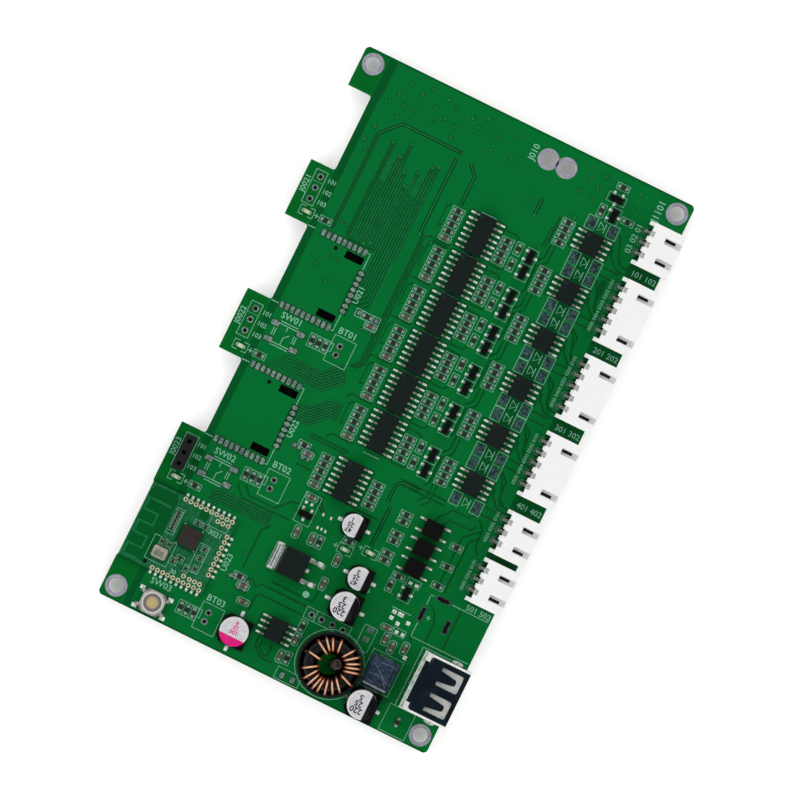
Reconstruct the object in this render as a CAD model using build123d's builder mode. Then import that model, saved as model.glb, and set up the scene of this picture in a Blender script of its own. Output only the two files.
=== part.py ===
from build123d import *
import math
import os

# Control board of a power bank, in millimetres.
# The origin is the centre of the four mounting holes, on the underside of the board.
# +Z is the component side, +X the connector edge, +Y the end with the two earth pads.

# Circuit board
board_width = 77.0
board_length = 128.4
board_thickness = 1.6
board_corner_radius = 1.0
right = board_width / 2
left = -right
top = board_length / 2
bottom = -top
face = board_thickness

mount_hole_radius = 1.6
mount_hole_inset_x = 2.85
mount_hole_inset_y = 3.05
mount_pitch_x = board_width - 2 * mount_hole_inset_x
mount_pitch_y = board_length - 2 * mount_hole_inset_y

earth_hole_radius = 1.6
earth_hole_inset = 4.7
earth_hole_x = (6.3, 10.5)

# Radio bays: recesses in the left edge, with two slots inboard of each of the lower three
bay_centres = (46.25, 16.05, -15.3, -46.4)
bay_length = 17.4
bay_depth = 5.5
bay_corner_radius = 0.6
bay_edge = left + bay_depth
slot_length = 4.1
slot_width = 1.7
slot_to_bay_edge = 11.8
slot_offset = 6.75
slotted_bays = bay_centres[1:]

# Bare through holes: battery pads, spare pin strips and the spare barrel jack
battery_hole_radius = 0.5
battery_hole_x = -15.65
battery_hole_pitch = 2.0
battery_centres = (3.75, -27.6, -58.75)
strip_hole_radius = 0.5
strip_pitch = 2.54
strip_x = left + 3.4
spare_strip_centres = (32.45, 1.55)
spare_row_x = 7.65
spare_row_y = -48.5
jack_slot_length = 2.9
jack_slot_width = 0.7
jack_slots = ((27.5, -33.5, 0), (24.7, -38.1, 90), (30.6, -38.4, 90))

# Leads through the board
pin_tail = 1.3
pin_hole_clearance = 0.2

# Gull-wing packages
lead_thickness = 0.2
body_standoff = 0.1
so_width = 3.9
so_height = 1.6
so_parting = 0.95
so_draft = 0.25
so_reach = 1.05
so_lead_width = 0.42
so_pitch = 1.27
logic_length = 8.65
logic_pins = 7
logic_x = 0.5
logic_first_y = 38.8
logic_pitch = 9.29
logic_spare = (-1.6, -19.95)
channels = 6
driver_length = 4.9
driver_pins = 4
driver_x = 22.3
driver_first_y = 47.4
driver_pitch = 11.24
driver_spare = (-1.3, -54.7)

transistor_width = 1.4
transistor_length = 2.9
transistor_height = 1.0
transistor_parting = 0.6
transistor_draft = 0.12
transistor_reach = 0.55
transistor_lead_width = 0.42
transistor_pitch = 1.9
transistor_x = 12.0
transistor_half_gap = 1.79
transistor_drop = 0.35
transistors_from_top = ((22.9, 5.9, -90), (23.9, 9.4, 0))
spare_transistors = ((19.85, -35.75, 0), (-6.55, -30.15, -90))

opto_width = 4.2
opto_length = 3.6
opto_height = 2.1
opto_parting = 1.2
opto_draft = 0.3
opto_reach = 1.3
opto_lead_width = 0.45
opto_pitch = 2.54
opto_x = 19.0
opto_first_y = -21.15
opto_spacing = 4.5
optos = 3

# Chip resistors and capacitors
chip_length = 1.6
chip_width = 0.8
chip_height = 0.45
capacitor_chip_height = 0.8
lamp_height = 0.55
chip_row_pitch = 1.55
channel_shift = (-0.9, -0.9, -0.15, -0.15, -0.05, -0.9)
left_block_x = -5.9
left_block_rise = 0.175
left_block_capacitor_drop = 3.75
right_block_x = 6.2
upright_x = 9.0
upright_rise = 0.05
upright_half_gap = 1.83
driver_block_x = 16.0
driver_block_drop = 0.35
spare_block_offset = 6.1
spare_left_rise = 0.2
spare_right_drop = 0.3
opto_resistors = ((25.1, -1.25), (12.6, 0.3), (12.6, -1.3))
battery_resistor_x = (-21.5, -20.0, -18.5)
battery_resistor_drop = 0.4
lamp_rows = (27.2, -4.3, -35.0)
lamp_x = -34.5
lamp_resistor_x = -30.1

# Small parts on their own: x, distance from the board's top or bottom edge, or y, and turn
resistors_from_top = ((23.1, 3.1, 0), (21.1, 9.4, 90), (27.1, 9.3, 0))
resistors_from_bottom = ((3.4, 5.2, 90), (3.3, 12.6, 90), (30.2, 3.4, 90))
single_resistors = (
    (16.8, -33.2, 0),
    (16.0, -35.6, 90),
    (4.3, -31.2, 0),
    (-1.3, -34.1, 90),
    (-13.2, 12.9, 0),
    (-13.2, -17.1, 0),
    (-13.2, -47.9, 0),
)
capacitors_from_bottom = ((3.3, 9.7, 90), (1.9, 5.0, 90))
single_capacitors = (
    (-6.9, -26.3, 0),
    (-6.6, -34.2, 90),
    (-3.0, -34.2, 90),
    (3.7, -35.9, 90),
    (3.3, -41.6, 90),
    (-10.2, -52.4, 0),
    (19.4, -43.95, 0),
    (20.2, -46.2, 90),
    (22.1, -47.2, 90),
    (24.7, -46.3, 90),
    (-11.7, 11.4, 0),
    (-11.7, -18.6, 0),
    (-11.7, -49.4, 0),
)
single_lamps = ((4.2, -33.1, 0), (9.3, -31.4, 0))

# Electrolytic capacitors: x, y, can radius, height, direction of the leads in degrees
electrolytics = (
    (3.7, -27.7, 2.5, 5.4, 0),
    (9.65, -37.2, 2.5, 5.4, 0),
    (9.5, -43.75, 3.1, 7.7, 0),
    (-9.1, -58.8, 3.1, 5.8, 90),
    (21.8, bottom + 3.5, 3.15, 7.7, 0),
)
can_groove_height = 1.3
can_groove_depth = 0.25
can_edge = 0.3
base_overhang = 0.15
base_height = 0.9
base_chamfer = 1.1
can_lead_width = 0.7
can_lead_reach = 0.75

# Side-entry wire headers, from the top of the connector edge: y and number of ways
wire_headers = ((52.5, 3), (36.9, 5), (18.95, 5), (0.85, 5), (-15.1, 3), (-26.35, 3))
header_pitch = 2.5
header_end = 2.45
header_depth = 7.1
header_height = 6.1
header_overhang = 1.1
header_wall = 0.85
header_back = 1.5
header_ear = 1.15
header_slot_width = 1.35
header_slot_length = 3.8
header_slot_inward = 0.2
header_notch_width = 1.2
header_notch_depth = 0.8
header_tooth_width = 1.0
header_tooth_reach = 0.45
header_tooth_drop = 0.9
header_pin = 0.64
header_pin_z = 3.1
header_pin_tip_gap = 1.4
header_row_gap = 1.1

# Type A socket
usb_y = bottom + 13.15
usb_width = 13.1
usb_length = 9.9
usb_height = 5.7
usb_standoff = 0.6
usb_overhang = 1.1
usb_wall = 0.3
usb_corner = 0.8
usb_slot_front = 1.0
usb_slot_length = 4.9
usb_slot_width = 4.0
usb_slot_corner = 0.5
usb_tongue_root = 2.5
usb_tongue_tip = 1.3
usb_tongue_bridge = 1.05
usb_tongue_round = 0.55
usb_slot_offset = 2.95
usb_leg_width = 1.9
usb_leg_back = 3.4
usb_block = 3.2
usb_lug_length = 1.2
usb_lug_width = 1.8
usb_lug_height = 1.0
usb_strip = 0.8
usb_bar_thickness = 1.9
usb_bar_width = 11.0
usb_bar_rise = 0.3
usb_bar_front_gap = 1.0
usb_contact_x = 0.95
usb_contact_pitches = (-3.5, -1.0, 1.0, 3.5)
usb_contact_width = 0.7
usb_contact_thickness = 0.25

# Wound choke
choke_x = 12.0
choke_y = bottom + 8.0
choke_cup_radius = 6.9
choke_cup_wall = 0.55
choke_cup_floor = 0.8
choke_cup_height = 4.6
choke_hole_radius = 2.1
core_outer = 5.45
core_inner = 3.5
core_height = 5.2
core_chamfer = 0.5
wire_size = 0.5
wire_clearance = 0.06
turn_angles = (
    89, 107, 123, 145, 176, 208, 232, 246, 259, 271,
    286, 302, 318, 342, 8, 18.5, 29, 41.5, 57,
)
tail_angles = (176, 8)
glue_radius = 1.2
glue_shift = 0.5
glue_height = 1.6
glue_taper = 12

# Regulator with a heat tab
regulator_x = -4.2
regulator_y = -40.65
regulator_width = 5.6
regulator_length = 6.1
regulator_height = 2.3
regulator_draft = 0.25
tab_reach = 2.0
tab_width = 5.2
tab_thickness = 0.5
tab_chamfer = 0.7
regulator_lead_pitch = 4.56
regulator_lead_width = 0.8
regulator_reach = 2.9
regulator_lead_drop = 1.0

# Power diode with folded straps
diode_x = 22.2
diode_y = -53.2
diode_width = 5.5
diode_length = 6.4
diode_height = 2.3
diode_parting = 1.1
diode_draft = 0.3
strap_width = 3.0
strap_reach = 0.55

# Reset switch
switch_x = -27.2
switch_y = bottom + 3.2
switch_size = 5.1
switch_body = 1.2
switch_cover = 0.25
switch_corner = 0.7
switch_floor = 0.35
plunger_radius = 1.2
plunger_height = 2.0
flange_radius = 1.7
flange_height = 0.3
flange_gap = 0.05
plunger_clearance = 0.08
button_travel = 0.25
dome_radius = 1.6
dome_rise = 0.12
dome_crown = 0.8
dome_thickness = 0.05
switch_lead_width = 0.7
switch_lead_reach = 0.85
switch_lead_offset = 1.9
switch_lead_drop = 0.45

# Socket strip on the lowest left tab
strip_y = -29.6
strip_ways = 3
strip_width = 2.5
strip_height = 8.5
strip_mouth = 0.8
strip_mouth_depth = 5.0
strip_pin = 0.5

# Radio module
module_right = -18.7
module_thickness = 0.8
module_overhang = 0.25
module_length = 17.1
module_notch_radius = 0.3
module_notch_first_x = -30.5
module_notch_pitch = 1.21
module_notches = 10
module_side_notch_pitch = 1.27
module_side_notches = 8
radio_chip_size = 4.2
radio_chip_height = 0.85
radio_chip_at = (-26.2, -45.3)
crystal_size = (3.2, 2.5)
crystal_height = 0.7
crystal_corner = 0.3
crystal_at = (-30.5, -50.9)
small_chip = (1.0, 0.5, 0.35)
radio_chip_places = [(-30.5, -41.7 - 0.85 * i, 0) for i in range(5)]
radio_chip_places += [
    (-29.4, -48.5, 90),
    (-31.0, -48.5, 90),
    (-27.2, -51.2, 25),
    (-26.1, -50.2, 25),
    (-22.3, -46.2, 0),
    (-22.3, -48.3, 0),
    (-22.3, -50.7, 90),
    (-24.0, -51.5, 90),
    (-26.0, -41.8, 0),
    (-24.2, -41.8, 0),
]

os.makedirs("parts", exist_ok=True)


def finish(name, label):
    """Label a finished piece and write it."""
    name.part.label = label
    export_step(name.part, "parts/" + label + ".step")


def upright(x, y, z):
    """An upright sketch plane whose origin is the given point."""
    return Plane(origin=(x, y, z), x_dir=(1, 0, 0), z_dir=(0, -1, 0))


def gull_lead(drop, reach, width):
    """One bent lead. It leaves its body at x = 0 and stands on the board at z = 0."""
    foot = 0.5 * reach
    with BuildPart() as lead:
        with BuildSketch(Plane.XZ.offset(-width / 2)):
            with BuildLine():
                Polyline(
                    (0, drop),
                    (reach - foot, lead_thickness),
                    (reach, lead_thickness),
                    (reach, 0),
                    (reach - foot - lead_thickness / 2, 0),
                    (0, drop - lead_thickness),
                    close=True,
                )
            make_face()
        extrude(amount=width)
    return lead.part


def moulded_body(width, length, height, parting, draft):
    """Moulded package body: upright up to the parting line, drafted above it."""
    with BuildPart() as body:
        with BuildSketch(Plane.XZ.offset(-length / 2)):
            with BuildLine():
                Polyline(
                    (-width / 2, body_standoff),
                    (width / 2, body_standoff),
                    (width / 2, parting),
                    (width / 2 - draft, height),
                    (draft - width / 2, height),
                    (-width / 2, parting),
                    close=True,
                )
            make_face()
        extrude(amount=length)
    return body.part


def side_places(centre, width, pitch, pins):
    """Where the leads of a two-row package leave its body, on both sides."""
    x, y = centre
    offsets = [(i - (pins - 1) / 2) * pitch for i in range(pins)]
    return [Location((x + width / 2, y + o, face)) for o in offsets] + [
        Location((x - width / 2, y + o, face), (0, 0, 180)) for o in offsets
    ]


def turned(offset, angle):
    """A short offset turned by an angle in degrees."""
    c, s = math.cos(math.radians(angle)), math.sin(math.radians(angle))
    return offset[0] * c - offset[1] * s, offset[0] * s + offset[1] * c


# Places of the repeated parts
logic_places = [(logic_x, logic_first_y - i * logic_pitch) for i in range(channels)]
logic_places.append(logic_spare)
driver_places = [(driver_x, driver_first_y - i * driver_pitch) for i in range(channels)]
driver_places.append(driver_spare)
opto_places = [(opto_x, opto_first_y - i * opto_spacing) for i in range(optos)]

# Transistors: x, y and the way that the single lead points, in degrees
transistor_places = []
for (_, y), shift in zip(logic_places, channel_shift):
    for side in (1, -1):
        y_pair = y + shift - transistor_drop + side * transistor_half_gap
        transistor_places.append((transistor_x, y_pair, 0))
transistor_places += [(x, top - inset, turn) for x, inset, turn in transistors_from_top]
transistor_places += spare_transistors

# Chip resistors, chip capacitors and lamps: x, y and turn in degrees
resistor_places = []
row_offsets = [(i - 1.5) * chip_row_pitch for i in range(4)]
for (_, y), shift in zip(logic_places, channel_shift):
    resistor_places += [(left_block_x, y + left_block_rise + o, 0) for o in row_offsets]
    resistor_places += [(right_block_x, y + shift + o, 0) for o in row_offsets]
    for side in (1, -1):
        y_upright = y + shift + upright_rise + side * upright_half_gap
        resistor_places.append((upright_x, y_upright, 90))
for _, y in driver_places[:channels]:
    resistor_places += [(driver_block_x, y - driver_block_drop + o, 0) for o in row_offsets]
spare_x, spare_y = logic_spare
spare_left_x = spare_x - spare_block_offset
spare_right_x = spare_x + spare_block_offset
resistor_places += [(spare_left_x, spare_y + spare_left_rise + o, 0) for o in row_offsets]
resistor_places += [(spare_right_x, spare_y - spare_right_drop + o, 0) for o in row_offsets]
for _, y in opto_places:
    resistor_places += [(x, y + rise, 0) for x, rise in opto_resistors]
for y in battery_centres:
    resistor_places += [(x, y - battery_resistor_drop, 90) for x in battery_resistor_x]
resistor_places += [(lamp_resistor_x, y, 0) for y in lamp_rows]
resistor_places += [(x, top - inset, turn) for x, inset, turn in resistors_from_top]
resistor_places += [(x, bottom + inset, turn) for x, inset, turn in resistors_from_bottom]
resistor_places += single_resistors
chip_capacitor_places = [
    (left_block_x, y - left_block_capacitor_drop, 0) for _, y in logic_places[:channels]
]
chip_capacitor_places.append((spare_left_x, spare_y - left_block_capacitor_drop, 0))
chip_capacitor_places += [(x, bottom + inset, turn) for x, inset, turn in capacitors_from_bottom]
chip_capacitor_places += single_capacitors
lamp_places = [(lamp_x, y, 0) for y in lamp_rows]
lamp_places += single_lamps

# Wire header pins: every pin's row and y
header_front = right + header_overhang
header_rear = header_front - header_depth
header_row_x = header_rear - header_row_gap
header_pin_rows = [
    y + (i - (ways - 1) / 2) * header_pitch for y, ways in wire_headers for i in range(ways)
]
usb_front = right + usb_overhang
usb_rear = usb_front - usb_length
usb_contact_row = usb_rear - usb_contact_x
strip_rows = [strip_y + (i - (strip_ways - 1) / 2) * strip_pitch for i in range(strip_ways)]
turn_outer = core_outer + wire_clearance + wire_size
choke_tail_places = []
for angle in tail_angles:
    dx, dy = turned((turn_outer - wire_size / 2, 0), angle)
    choke_tail_places.append((choke_x + dx, choke_y + dy, angle))

# The bare board
leg_x = usb_front - usb_leg_back
with BuildPart() as board:
    with BuildSketch() as outline:
        RectangleRounded(board_width, board_length, board_corner_radius)
        with Locations(*[(left, y) for y in bay_centres]):
            Rectangle(2 * bay_depth, bay_length, mode=Mode.SUBTRACT)
        inner = [v for v in outline.vertices() if abs(v.X - bay_edge) < 0.01]
        fillet(inner, bay_corner_radius)
    extrude(amount=board_thickness)
    with BuildSketch(Plane.XY):
        with GridLocations(mount_pitch_x, mount_pitch_y, 2, 2):
            Circle(mount_hole_radius)
        with Locations(*[(x, top - earth_hole_inset) for x in earth_hole_x]):
            Circle(earth_hole_radius)
        with Locations(*[(bay_edge + slot_to_bay_edge, y) for y in slotted_bays]):
            with GridLocations(1, 2 * slot_offset, 1, 2):
                Rectangle(slot_length, slot_width)
        with Locations(*[(battery_hole_x, y) for y in battery_centres]):
            with GridLocations(1, battery_hole_pitch, 1, 2):
                Circle(battery_hole_radius)
        with Locations(*[(strip_x, y) for y in spare_strip_centres]):
            with GridLocations(1, strip_pitch, 1, 3):
                Circle(strip_hole_radius)
        with Locations((spare_row_x, spare_row_y)):
            with GridLocations(strip_pitch, 1, 4, 1):
                Circle(strip_hole_radius)
        with Locations(*[Location((x, y), a) for x, y, a in jack_slots]):
            Rectangle(jack_slot_length, jack_slot_width)
        with Locations(*[(header_row_x, y) for y in header_pin_rows]):
            Rectangle(header_pin + pin_hole_clearance, header_pin + pin_hole_clearance)
        with Locations(*[(usb_contact_row, usb_y + y) for y in usb_contact_pitches]):
            Rectangle(
                usb_contact_thickness + pin_hole_clearance, usb_contact_width + pin_hole_clearance
            )
        with Locations((leg_x, usb_y)):
            with GridLocations(1, usb_width - usb_wall, 1, 2):
                Rectangle(usb_leg_width + pin_hole_clearance, usb_wall + pin_hole_clearance)
        with Locations(*[(strip_x, y) for y in strip_rows]):
            Rectangle(strip_pin + pin_hole_clearance, strip_pin + pin_hole_clearance)
        with Locations(*[Location((x, y), a) for x, y, a in choke_tail_places]):
            Rectangle(wire_size + pin_hole_clearance, wire_size + pin_hole_clearance)
    extrude(amount=board_thickness, mode=Mode.SUBTRACT)
finish(board, "circuit_board")

# Logic and driver chips, each body a piece of its own and their leads in one group
logic_body = moulded_body(so_width, logic_length, so_height, so_parting, so_draft)
for number, (x, y) in enumerate(logic_places, 1):
    with BuildPart() as logic_chip:
        with Locations((x, y, face)):
            add(logic_body)
    finish(logic_chip, f"logic_chip_{number}")
driver_body = moulded_body(so_width, driver_length, so_height, so_parting, so_draft)
for number, (x, y) in enumerate(driver_places, 1):
    with BuildPart() as driver_chip:
        with Locations((x, y, face)):
            add(driver_body)
    finish(driver_chip, f"driver_chip_{number}")
so_lead = gull_lead(so_parting, so_reach, so_lead_width)
with BuildPart() as logic_leads:
    for centre in logic_places:
        with Locations(*side_places(centre, so_width, so_pitch, logic_pins)):
            add(so_lead)
finish(logic_leads, "logic_chip_leads")
with BuildPart() as driver_leads:
    for centre in driver_places:
        with Locations(*side_places(centre, so_width, so_pitch, driver_pins)):
            add(so_lead)
finish(driver_leads, "driver_chip_leads")

# Optocouplers
opto_body = moulded_body(opto_width, opto_length, opto_height, opto_parting, opto_draft)
with BuildPart() as optocouplers:
    with Locations(*[(x, y, face) for x, y in opto_places]):
        add(opto_body)
finish(optocouplers, "optocouplers")
opto_lead = gull_lead(opto_parting, opto_reach, opto_lead_width)
with BuildPart() as opto_leads:
    for centre in opto_places:
        with Locations(*side_places(centre, opto_width, opto_pitch, 2)):
            add(opto_lead)
finish(opto_leads, "optocoupler_leads")

# Small transistors: one lead on one side, two on the other
transistor_body = moulded_body(
    transistor_width, transistor_length, transistor_height, transistor_parting, transistor_draft
)
with BuildPart() as transistors:
    with Locations(*[Location((x, y, face), (0, 0, a)) for x, y, a in transistor_places]):
        add(transistor_body)
finish(transistors, "transistors")
transistor_lead = gull_lead(transistor_parting, transistor_reach, transistor_lead_width)
half_width = transistor_width / 2
lead_places = []
for x, y, a in transistor_places:
    for offset, turn in (
        ((half_width, 0), 0),
        ((-half_width, transistor_pitch / 2), 180),
        ((-half_width, -transistor_pitch / 2), 180),
    ):
        dx, dy = turned(offset, a)
        lead_places.append(Location((x + dx, y + dy, face), (0, 0, a + turn)))
with BuildPart() as transistor_leads:
    with Locations(*lead_places):
        add(transistor_lead)
finish(transistor_leads, "transistor_leads")


def scattered(places):
    """Places on a sketch of the board's face, each turned about Z."""
    return [Location((x, y), a) for x, y, a in places]


# Chip resistors, chip capacitors and indicator lamps
for label, places, height in (
    ("chip_resistors", resistor_places, chip_height),
    ("chip_capacitors", chip_capacitor_places, capacitor_chip_height),
    ("indicator_lamps", lamp_places, lamp_height),
):
    with BuildPart() as chips:
        with BuildSketch(Plane.XY.offset(face)):
            with Locations(*scattered(places)):
                Rectangle(chip_length, chip_width)
        extrude(amount=height)
    finish(chips, label)

# Electrolytic capacitors: crimped can on a square moulded base with two strip leads
with BuildPart() as can_bases:
    for x, y, radius, _, angle in electrolytics:
        side = 2 * (radius + base_overhang)
        with BuildSketch(Plane(origin=(x, y, face))) as base_outline:
            Rectangle(side, side, rotation=angle)
            cut_side = base_outline.vertices().group_by(Axis.X)[0]
            chamfer(cut_side, base_chamfer)
        extrude(amount=base_height)
    for x, y, radius, _, angle in electrolytics:
        with BuildSketch(Plane(origin=(x, y, face))):
            Rectangle(2 * (radius + base_overhang) + 1, can_lead_width, rotation=angle)
        extrude(amount=lead_thickness, mode=Mode.SUBTRACT)
finish(can_bases, "capacitor_bases")
with BuildPart() as can_leads:
    for x, y, radius, _, angle in electrolytics:
        reach = radius + base_overhang + can_lead_reach
        with BuildSketch(Plane(origin=(x, y, face))):
            Rectangle(2 * reach, can_lead_width, rotation=angle)
            Rectangle(radius, 2 * can_lead_width, rotation=angle, mode=Mode.SUBTRACT)
        extrude(amount=lead_thickness)
finish(can_leads, "capacitor_leads")
for number, (x, y, radius, height, _) in enumerate(electrolytics, 1):
    with BuildPart() as can:
        with BuildSketch(upright(x, y, face)) as section:
            with BuildLine():
                neck = radius - can_groove_depth
                low = base_height + can_groove_height
                Polyline(
                    (0, base_height),
                    (radius, base_height),
                    (radius, low - can_groove_depth),
                    (neck, low),
                    (radius, low + can_groove_depth),
                    (radius, height),
                    (0, height),
                    close=True,
                )
            make_face()
            rim = section.vertices().group_by(Axis.Y)[-1].sort_by(Axis.X)[-1]
            chamfer(rim, can_edge)
        revolve(axis=Axis((x, y, face), (0, 0, 1)))
    finish(can, f"capacitor_can_{number}")

# Side-entry wire headers
for number, (y, ways) in enumerate(wire_headers, 1):
    width = (ways - 1) * header_pitch + 2 * header_end
    middle = (header_front + header_rear) / 2
    cavity_depth = header_depth - header_back
    half_span = (ways - 1) / 2 * header_pitch
    slot_rows = [y + side * (half_span - header_slot_inward) for side in (1, -1)]
    pin_rows = [y - half_span + i * header_pitch for i in range(ways)]
    tooth_rows = [row + header_pitch / 2 for row in pin_rows[:-1]]
    notch_floor = header_pin_z - header_pin / 2
    with BuildPart() as housing:
        with Locations((middle, y, face)):
            Box(header_depth, width, header_height, align=(Align.CENTER, Align.CENTER, Align.MIN))
        with Locations((header_front - cavity_depth / 2, y, face + header_wall)):
            Box(
                cavity_depth,
                width - 2 * header_wall,
                header_height - 2 * header_wall,
                align=(Align.CENTER, Align.CENTER, Align.MIN),
                mode=Mode.SUBTRACT,
            )
        slot_middle = header_front - header_slot_length / 2
        with Locations(*[(slot_middle, row, face + header_height) for row in slot_rows]):
            Box(
                header_slot_length,
                header_slot_width,
                2 * header_wall + pin_hole_clearance,
                mode=Mode.SUBTRACT,
            )
        with Locations(*[(header_rear, row, face) for row in tooth_rows]):
            Box(
                2 * header_tooth_reach,
                header_tooth_width,
                header_height - header_tooth_drop,
                align=(Align.CENTER, Align.CENTER, Align.MIN),
            )
        with Locations(*[(header_rear, row, face + notch_floor) for row in pin_rows]):
            Box(
                2 * header_notch_depth,
                header_notch_width,
                header_height,
                align=(Align.CENTER, Align.CENTER, Align.MIN),
                mode=Mode.SUBTRACT,
            )
        with Locations((header_rear - header_ear / 2, y, face)):
            with GridLocations(1, width - header_wall, 1, 2):
                Box(
                    header_ear,
                    header_wall,
                    header_pin_z,
                    align=(Align.CENTER, Align.CENTER, Align.MIN),
                )
        with BuildSketch(Plane.YZ.offset(header_rear)):
            with Locations(*[(row, face + header_pin_z) for row in pin_rows]):
                Rectangle(header_pin, header_pin)
        extrude(amount=header_back, mode=Mode.SUBTRACT)
    finish(housing, f"wire_header_{number}")

# Bent header pins: along the cavity, back through the rear wall and down through the board
with BuildPart() as bent_pin:
    with BuildSketch(Plane.XZ.offset(-header_pin / 2)):
        with BuildLine():
            low = header_pin_z - header_pin / 2
            tip = header_front - header_pin_tip_gap
            Polyline(
                (tip, low),
                (tip, low + header_pin),
                (header_row_x - header_pin / 2, low + header_pin),
                (header_row_x - header_pin / 2, -face - pin_tail),
                (header_row_x + header_pin / 2, -face - pin_tail),
                (header_row_x + header_pin / 2, low),
                close=True,
            )
        make_face()
    extrude(amount=header_pin)
with BuildPart() as header_pins:
    with Locations(*[(0, row, face) for row in header_pin_rows]):
        add(bent_pin.part)
finish(header_pins, "header_pins")

# Type A socket: folded shell, moulded insulator and four contacts
usb_middle = (usb_front + usb_rear) / 2
usb_floor = face + usb_standoff
slot_x = usb_front - usb_slot_front - usb_slot_length / 2
tongue_root_x = -usb_slot_length / 2
tongue_tip_x = usb_slot_length / 2 - usb_tongue_bridge
lug_rows = [usb_y + side * (usb_width - usb_lug_width) / 2 for side in (1, -1)]
with BuildSketch() as tongue:
    Polygon(
        (tongue_root_x, -usb_tongue_root / 2),
        (tongue_tip_x, -usb_tongue_tip / 2),
        (tongue_tip_x, usb_tongue_tip / 2),
        (tongue_root_x, usb_tongue_root / 2),
        align=None,
    )
    fillet(tongue.vertices().group_by(Axis.X)[-1], usb_tongue_round)
with BuildSketch() as spring_slot:
    Rectangle(usb_slot_length, usb_slot_width)
    fillet(spring_slot.vertices().group_by(Axis.X)[-1], usb_slot_corner)
    add(tongue.sketch, mode=Mode.SUBTRACT)
with BuildPart() as shell:
    with BuildSketch(Plane.YZ.offset(usb_rear)):
        with Locations((usb_y, usb_floor + usb_height / 2)):
            RectangleRounded(usb_width, usb_height, usb_corner)
            RectangleRounded(
                usb_width - 2 * usb_wall,
                usb_height - 2 * usb_wall,
                usb_corner - usb_wall,
                mode=Mode.SUBTRACT,
            )
    extrude(amount=usb_length)
    with BuildSketch(Plane.XY.offset(usb_floor + usb_height / 2)):
        with Locations((slot_x, usb_y)):
            with GridLocations(1, 2 * usb_slot_offset, 1, 2):
                add(spring_slot.sketch)
    extrude(amount=usb_height, mode=Mode.SUBTRACT)
    with Locations(*[(usb_rear, row, usb_floor + usb_height) for row in lug_rows]):
        Box(
            usb_lug_length,
            usb_lug_width,
            usb_lug_height,
            align=(Align.MIN, Align.CENTER, Align.MAX),
            mode=Mode.SUBTRACT,
        )
    with Locations((leg_x, usb_y, -pin_tail)):
        with GridLocations(1, usb_width - usb_wall, 1, 2):
            Box(
                usb_leg_width,
                usb_wall,
                usb_floor + usb_height / 2 + pin_tail,
                align=(Align.CENTER, Align.CENTER, Align.MIN),
            )
finish(shell, "usb_shell")
bar_z = usb_floor + usb_height / 2 + usb_bar_rise
inside_width = usb_width - 2 * usb_wall
inside_height = usb_height - 2 * usb_wall
contact_top = bar_z
contact_front = usb_front - usb_bar_front_gap - usb_contact_width
contact_rows = [usb_y + offset for offset in usb_contact_pitches]
with BuildPart() as insulator:
    with BuildSketch(Plane.YZ.offset(usb_rear)):
        with Locations((usb_y, usb_floor + usb_height / 2)):
            RectangleRounded(inside_width, inside_height, usb_corner - usb_wall)
    extrude(amount=usb_block)
    with BuildSketch(Plane.YZ.offset(usb_rear - usb_strip)):
        with Locations((usb_y, (face + usb_floor + usb_height) / 2)):
            Rectangle(usb_width, usb_floor + usb_height - face)
    extrude(amount=usb_strip)
    with Locations(*[(usb_rear, row, usb_floor + usb_height) for row in lug_rows]):
        Box(
            usb_lug_length,
            usb_lug_width,
            usb_lug_height,
            align=(Align.MIN, Align.CENTER, Align.MAX),
        )
    with Locations((usb_rear + usb_block, usb_y, bar_z)):
        Box(
            usb_length - usb_block - usb_bar_front_gap,
            usb_bar_width,
            usb_bar_thickness,
            align=(Align.MIN, Align.CENTER, Align.MIN),
        )
    with Locations(*[(usb_contact_row, row, contact_top) for row in contact_rows]):
        Box(
            contact_front - usb_contact_row,
            usb_contact_width,
            usb_contact_thickness,
            align=(Align.MIN, Align.CENTER, Align.MAX),
            mode=Mode.SUBTRACT,
        )
finish(insulator, "usb_insulator")
with BuildPart() as contact:
    with BuildSketch(Plane.XZ.offset(-usb_contact_width / 2)):
        with BuildLine():
            Polyline(
                (contact_front, contact_top),
                (usb_contact_row - usb_contact_thickness / 2, contact_top),
                (usb_contact_row - usb_contact_thickness / 2, -pin_tail),
                (usb_contact_row + usb_contact_thickness / 2, -pin_tail),
                (usb_contact_row + usb_contact_thickness / 2, contact_top - usb_contact_thickness),
                (contact_front, contact_top - usb_contact_thickness),
                close=True,
            )
        make_face()
    extrude(amount=usb_contact_width)
with BuildPart() as usb_contacts:
    with Locations(*[(0, row, 0) for row in contact_rows]):
        add(contact.part)
finish(usb_contacts, "usb_contacts")

# Wound choke: a ring core wound with copper wire, standing in a moulded cup
floor_top = face + choke_cup_floor
core_bottom = floor_top + wire_size + wire_clearance
with BuildPart() as cup:
    with BuildSketch(Plane.XY.offset(face)):
        with Locations((choke_x, choke_y)):
            Circle(choke_cup_radius)
            Circle(choke_hole_radius, mode=Mode.SUBTRACT)
    extrude(amount=choke_cup_height)
    with BuildSketch(Plane.XY.offset(floor_top)):
        with Locations((choke_x, choke_y)):
            Circle(choke_cup_radius - choke_cup_wall)
    extrude(amount=choke_cup_height, mode=Mode.SUBTRACT)
    with BuildSketch(Plane.XY.offset(face)):
        with Locations(*[Location((x, y), a) for x, y, a in choke_tail_places]):
            Rectangle(wire_size, wire_size)
    extrude(amount=choke_cup_floor, mode=Mode.SUBTRACT)
finish(cup, "choke_cup")
with BuildPart() as core:
    with BuildSketch(upright(choke_x, choke_y, core_bottom)):
        with Locations(((core_outer + core_inner) / 2, core_height / 2)):
            core_outline = Rectangle(core_outer - core_inner, core_height)
        chamfer(core_outline.vertices(), core_chamfer)
    revolve(axis=Axis((choke_x, choke_y, 0), (0, 0, 1)))
finish(core, "choke_core")
turn_inner = core_inner - wire_clearance - wire_size
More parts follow.
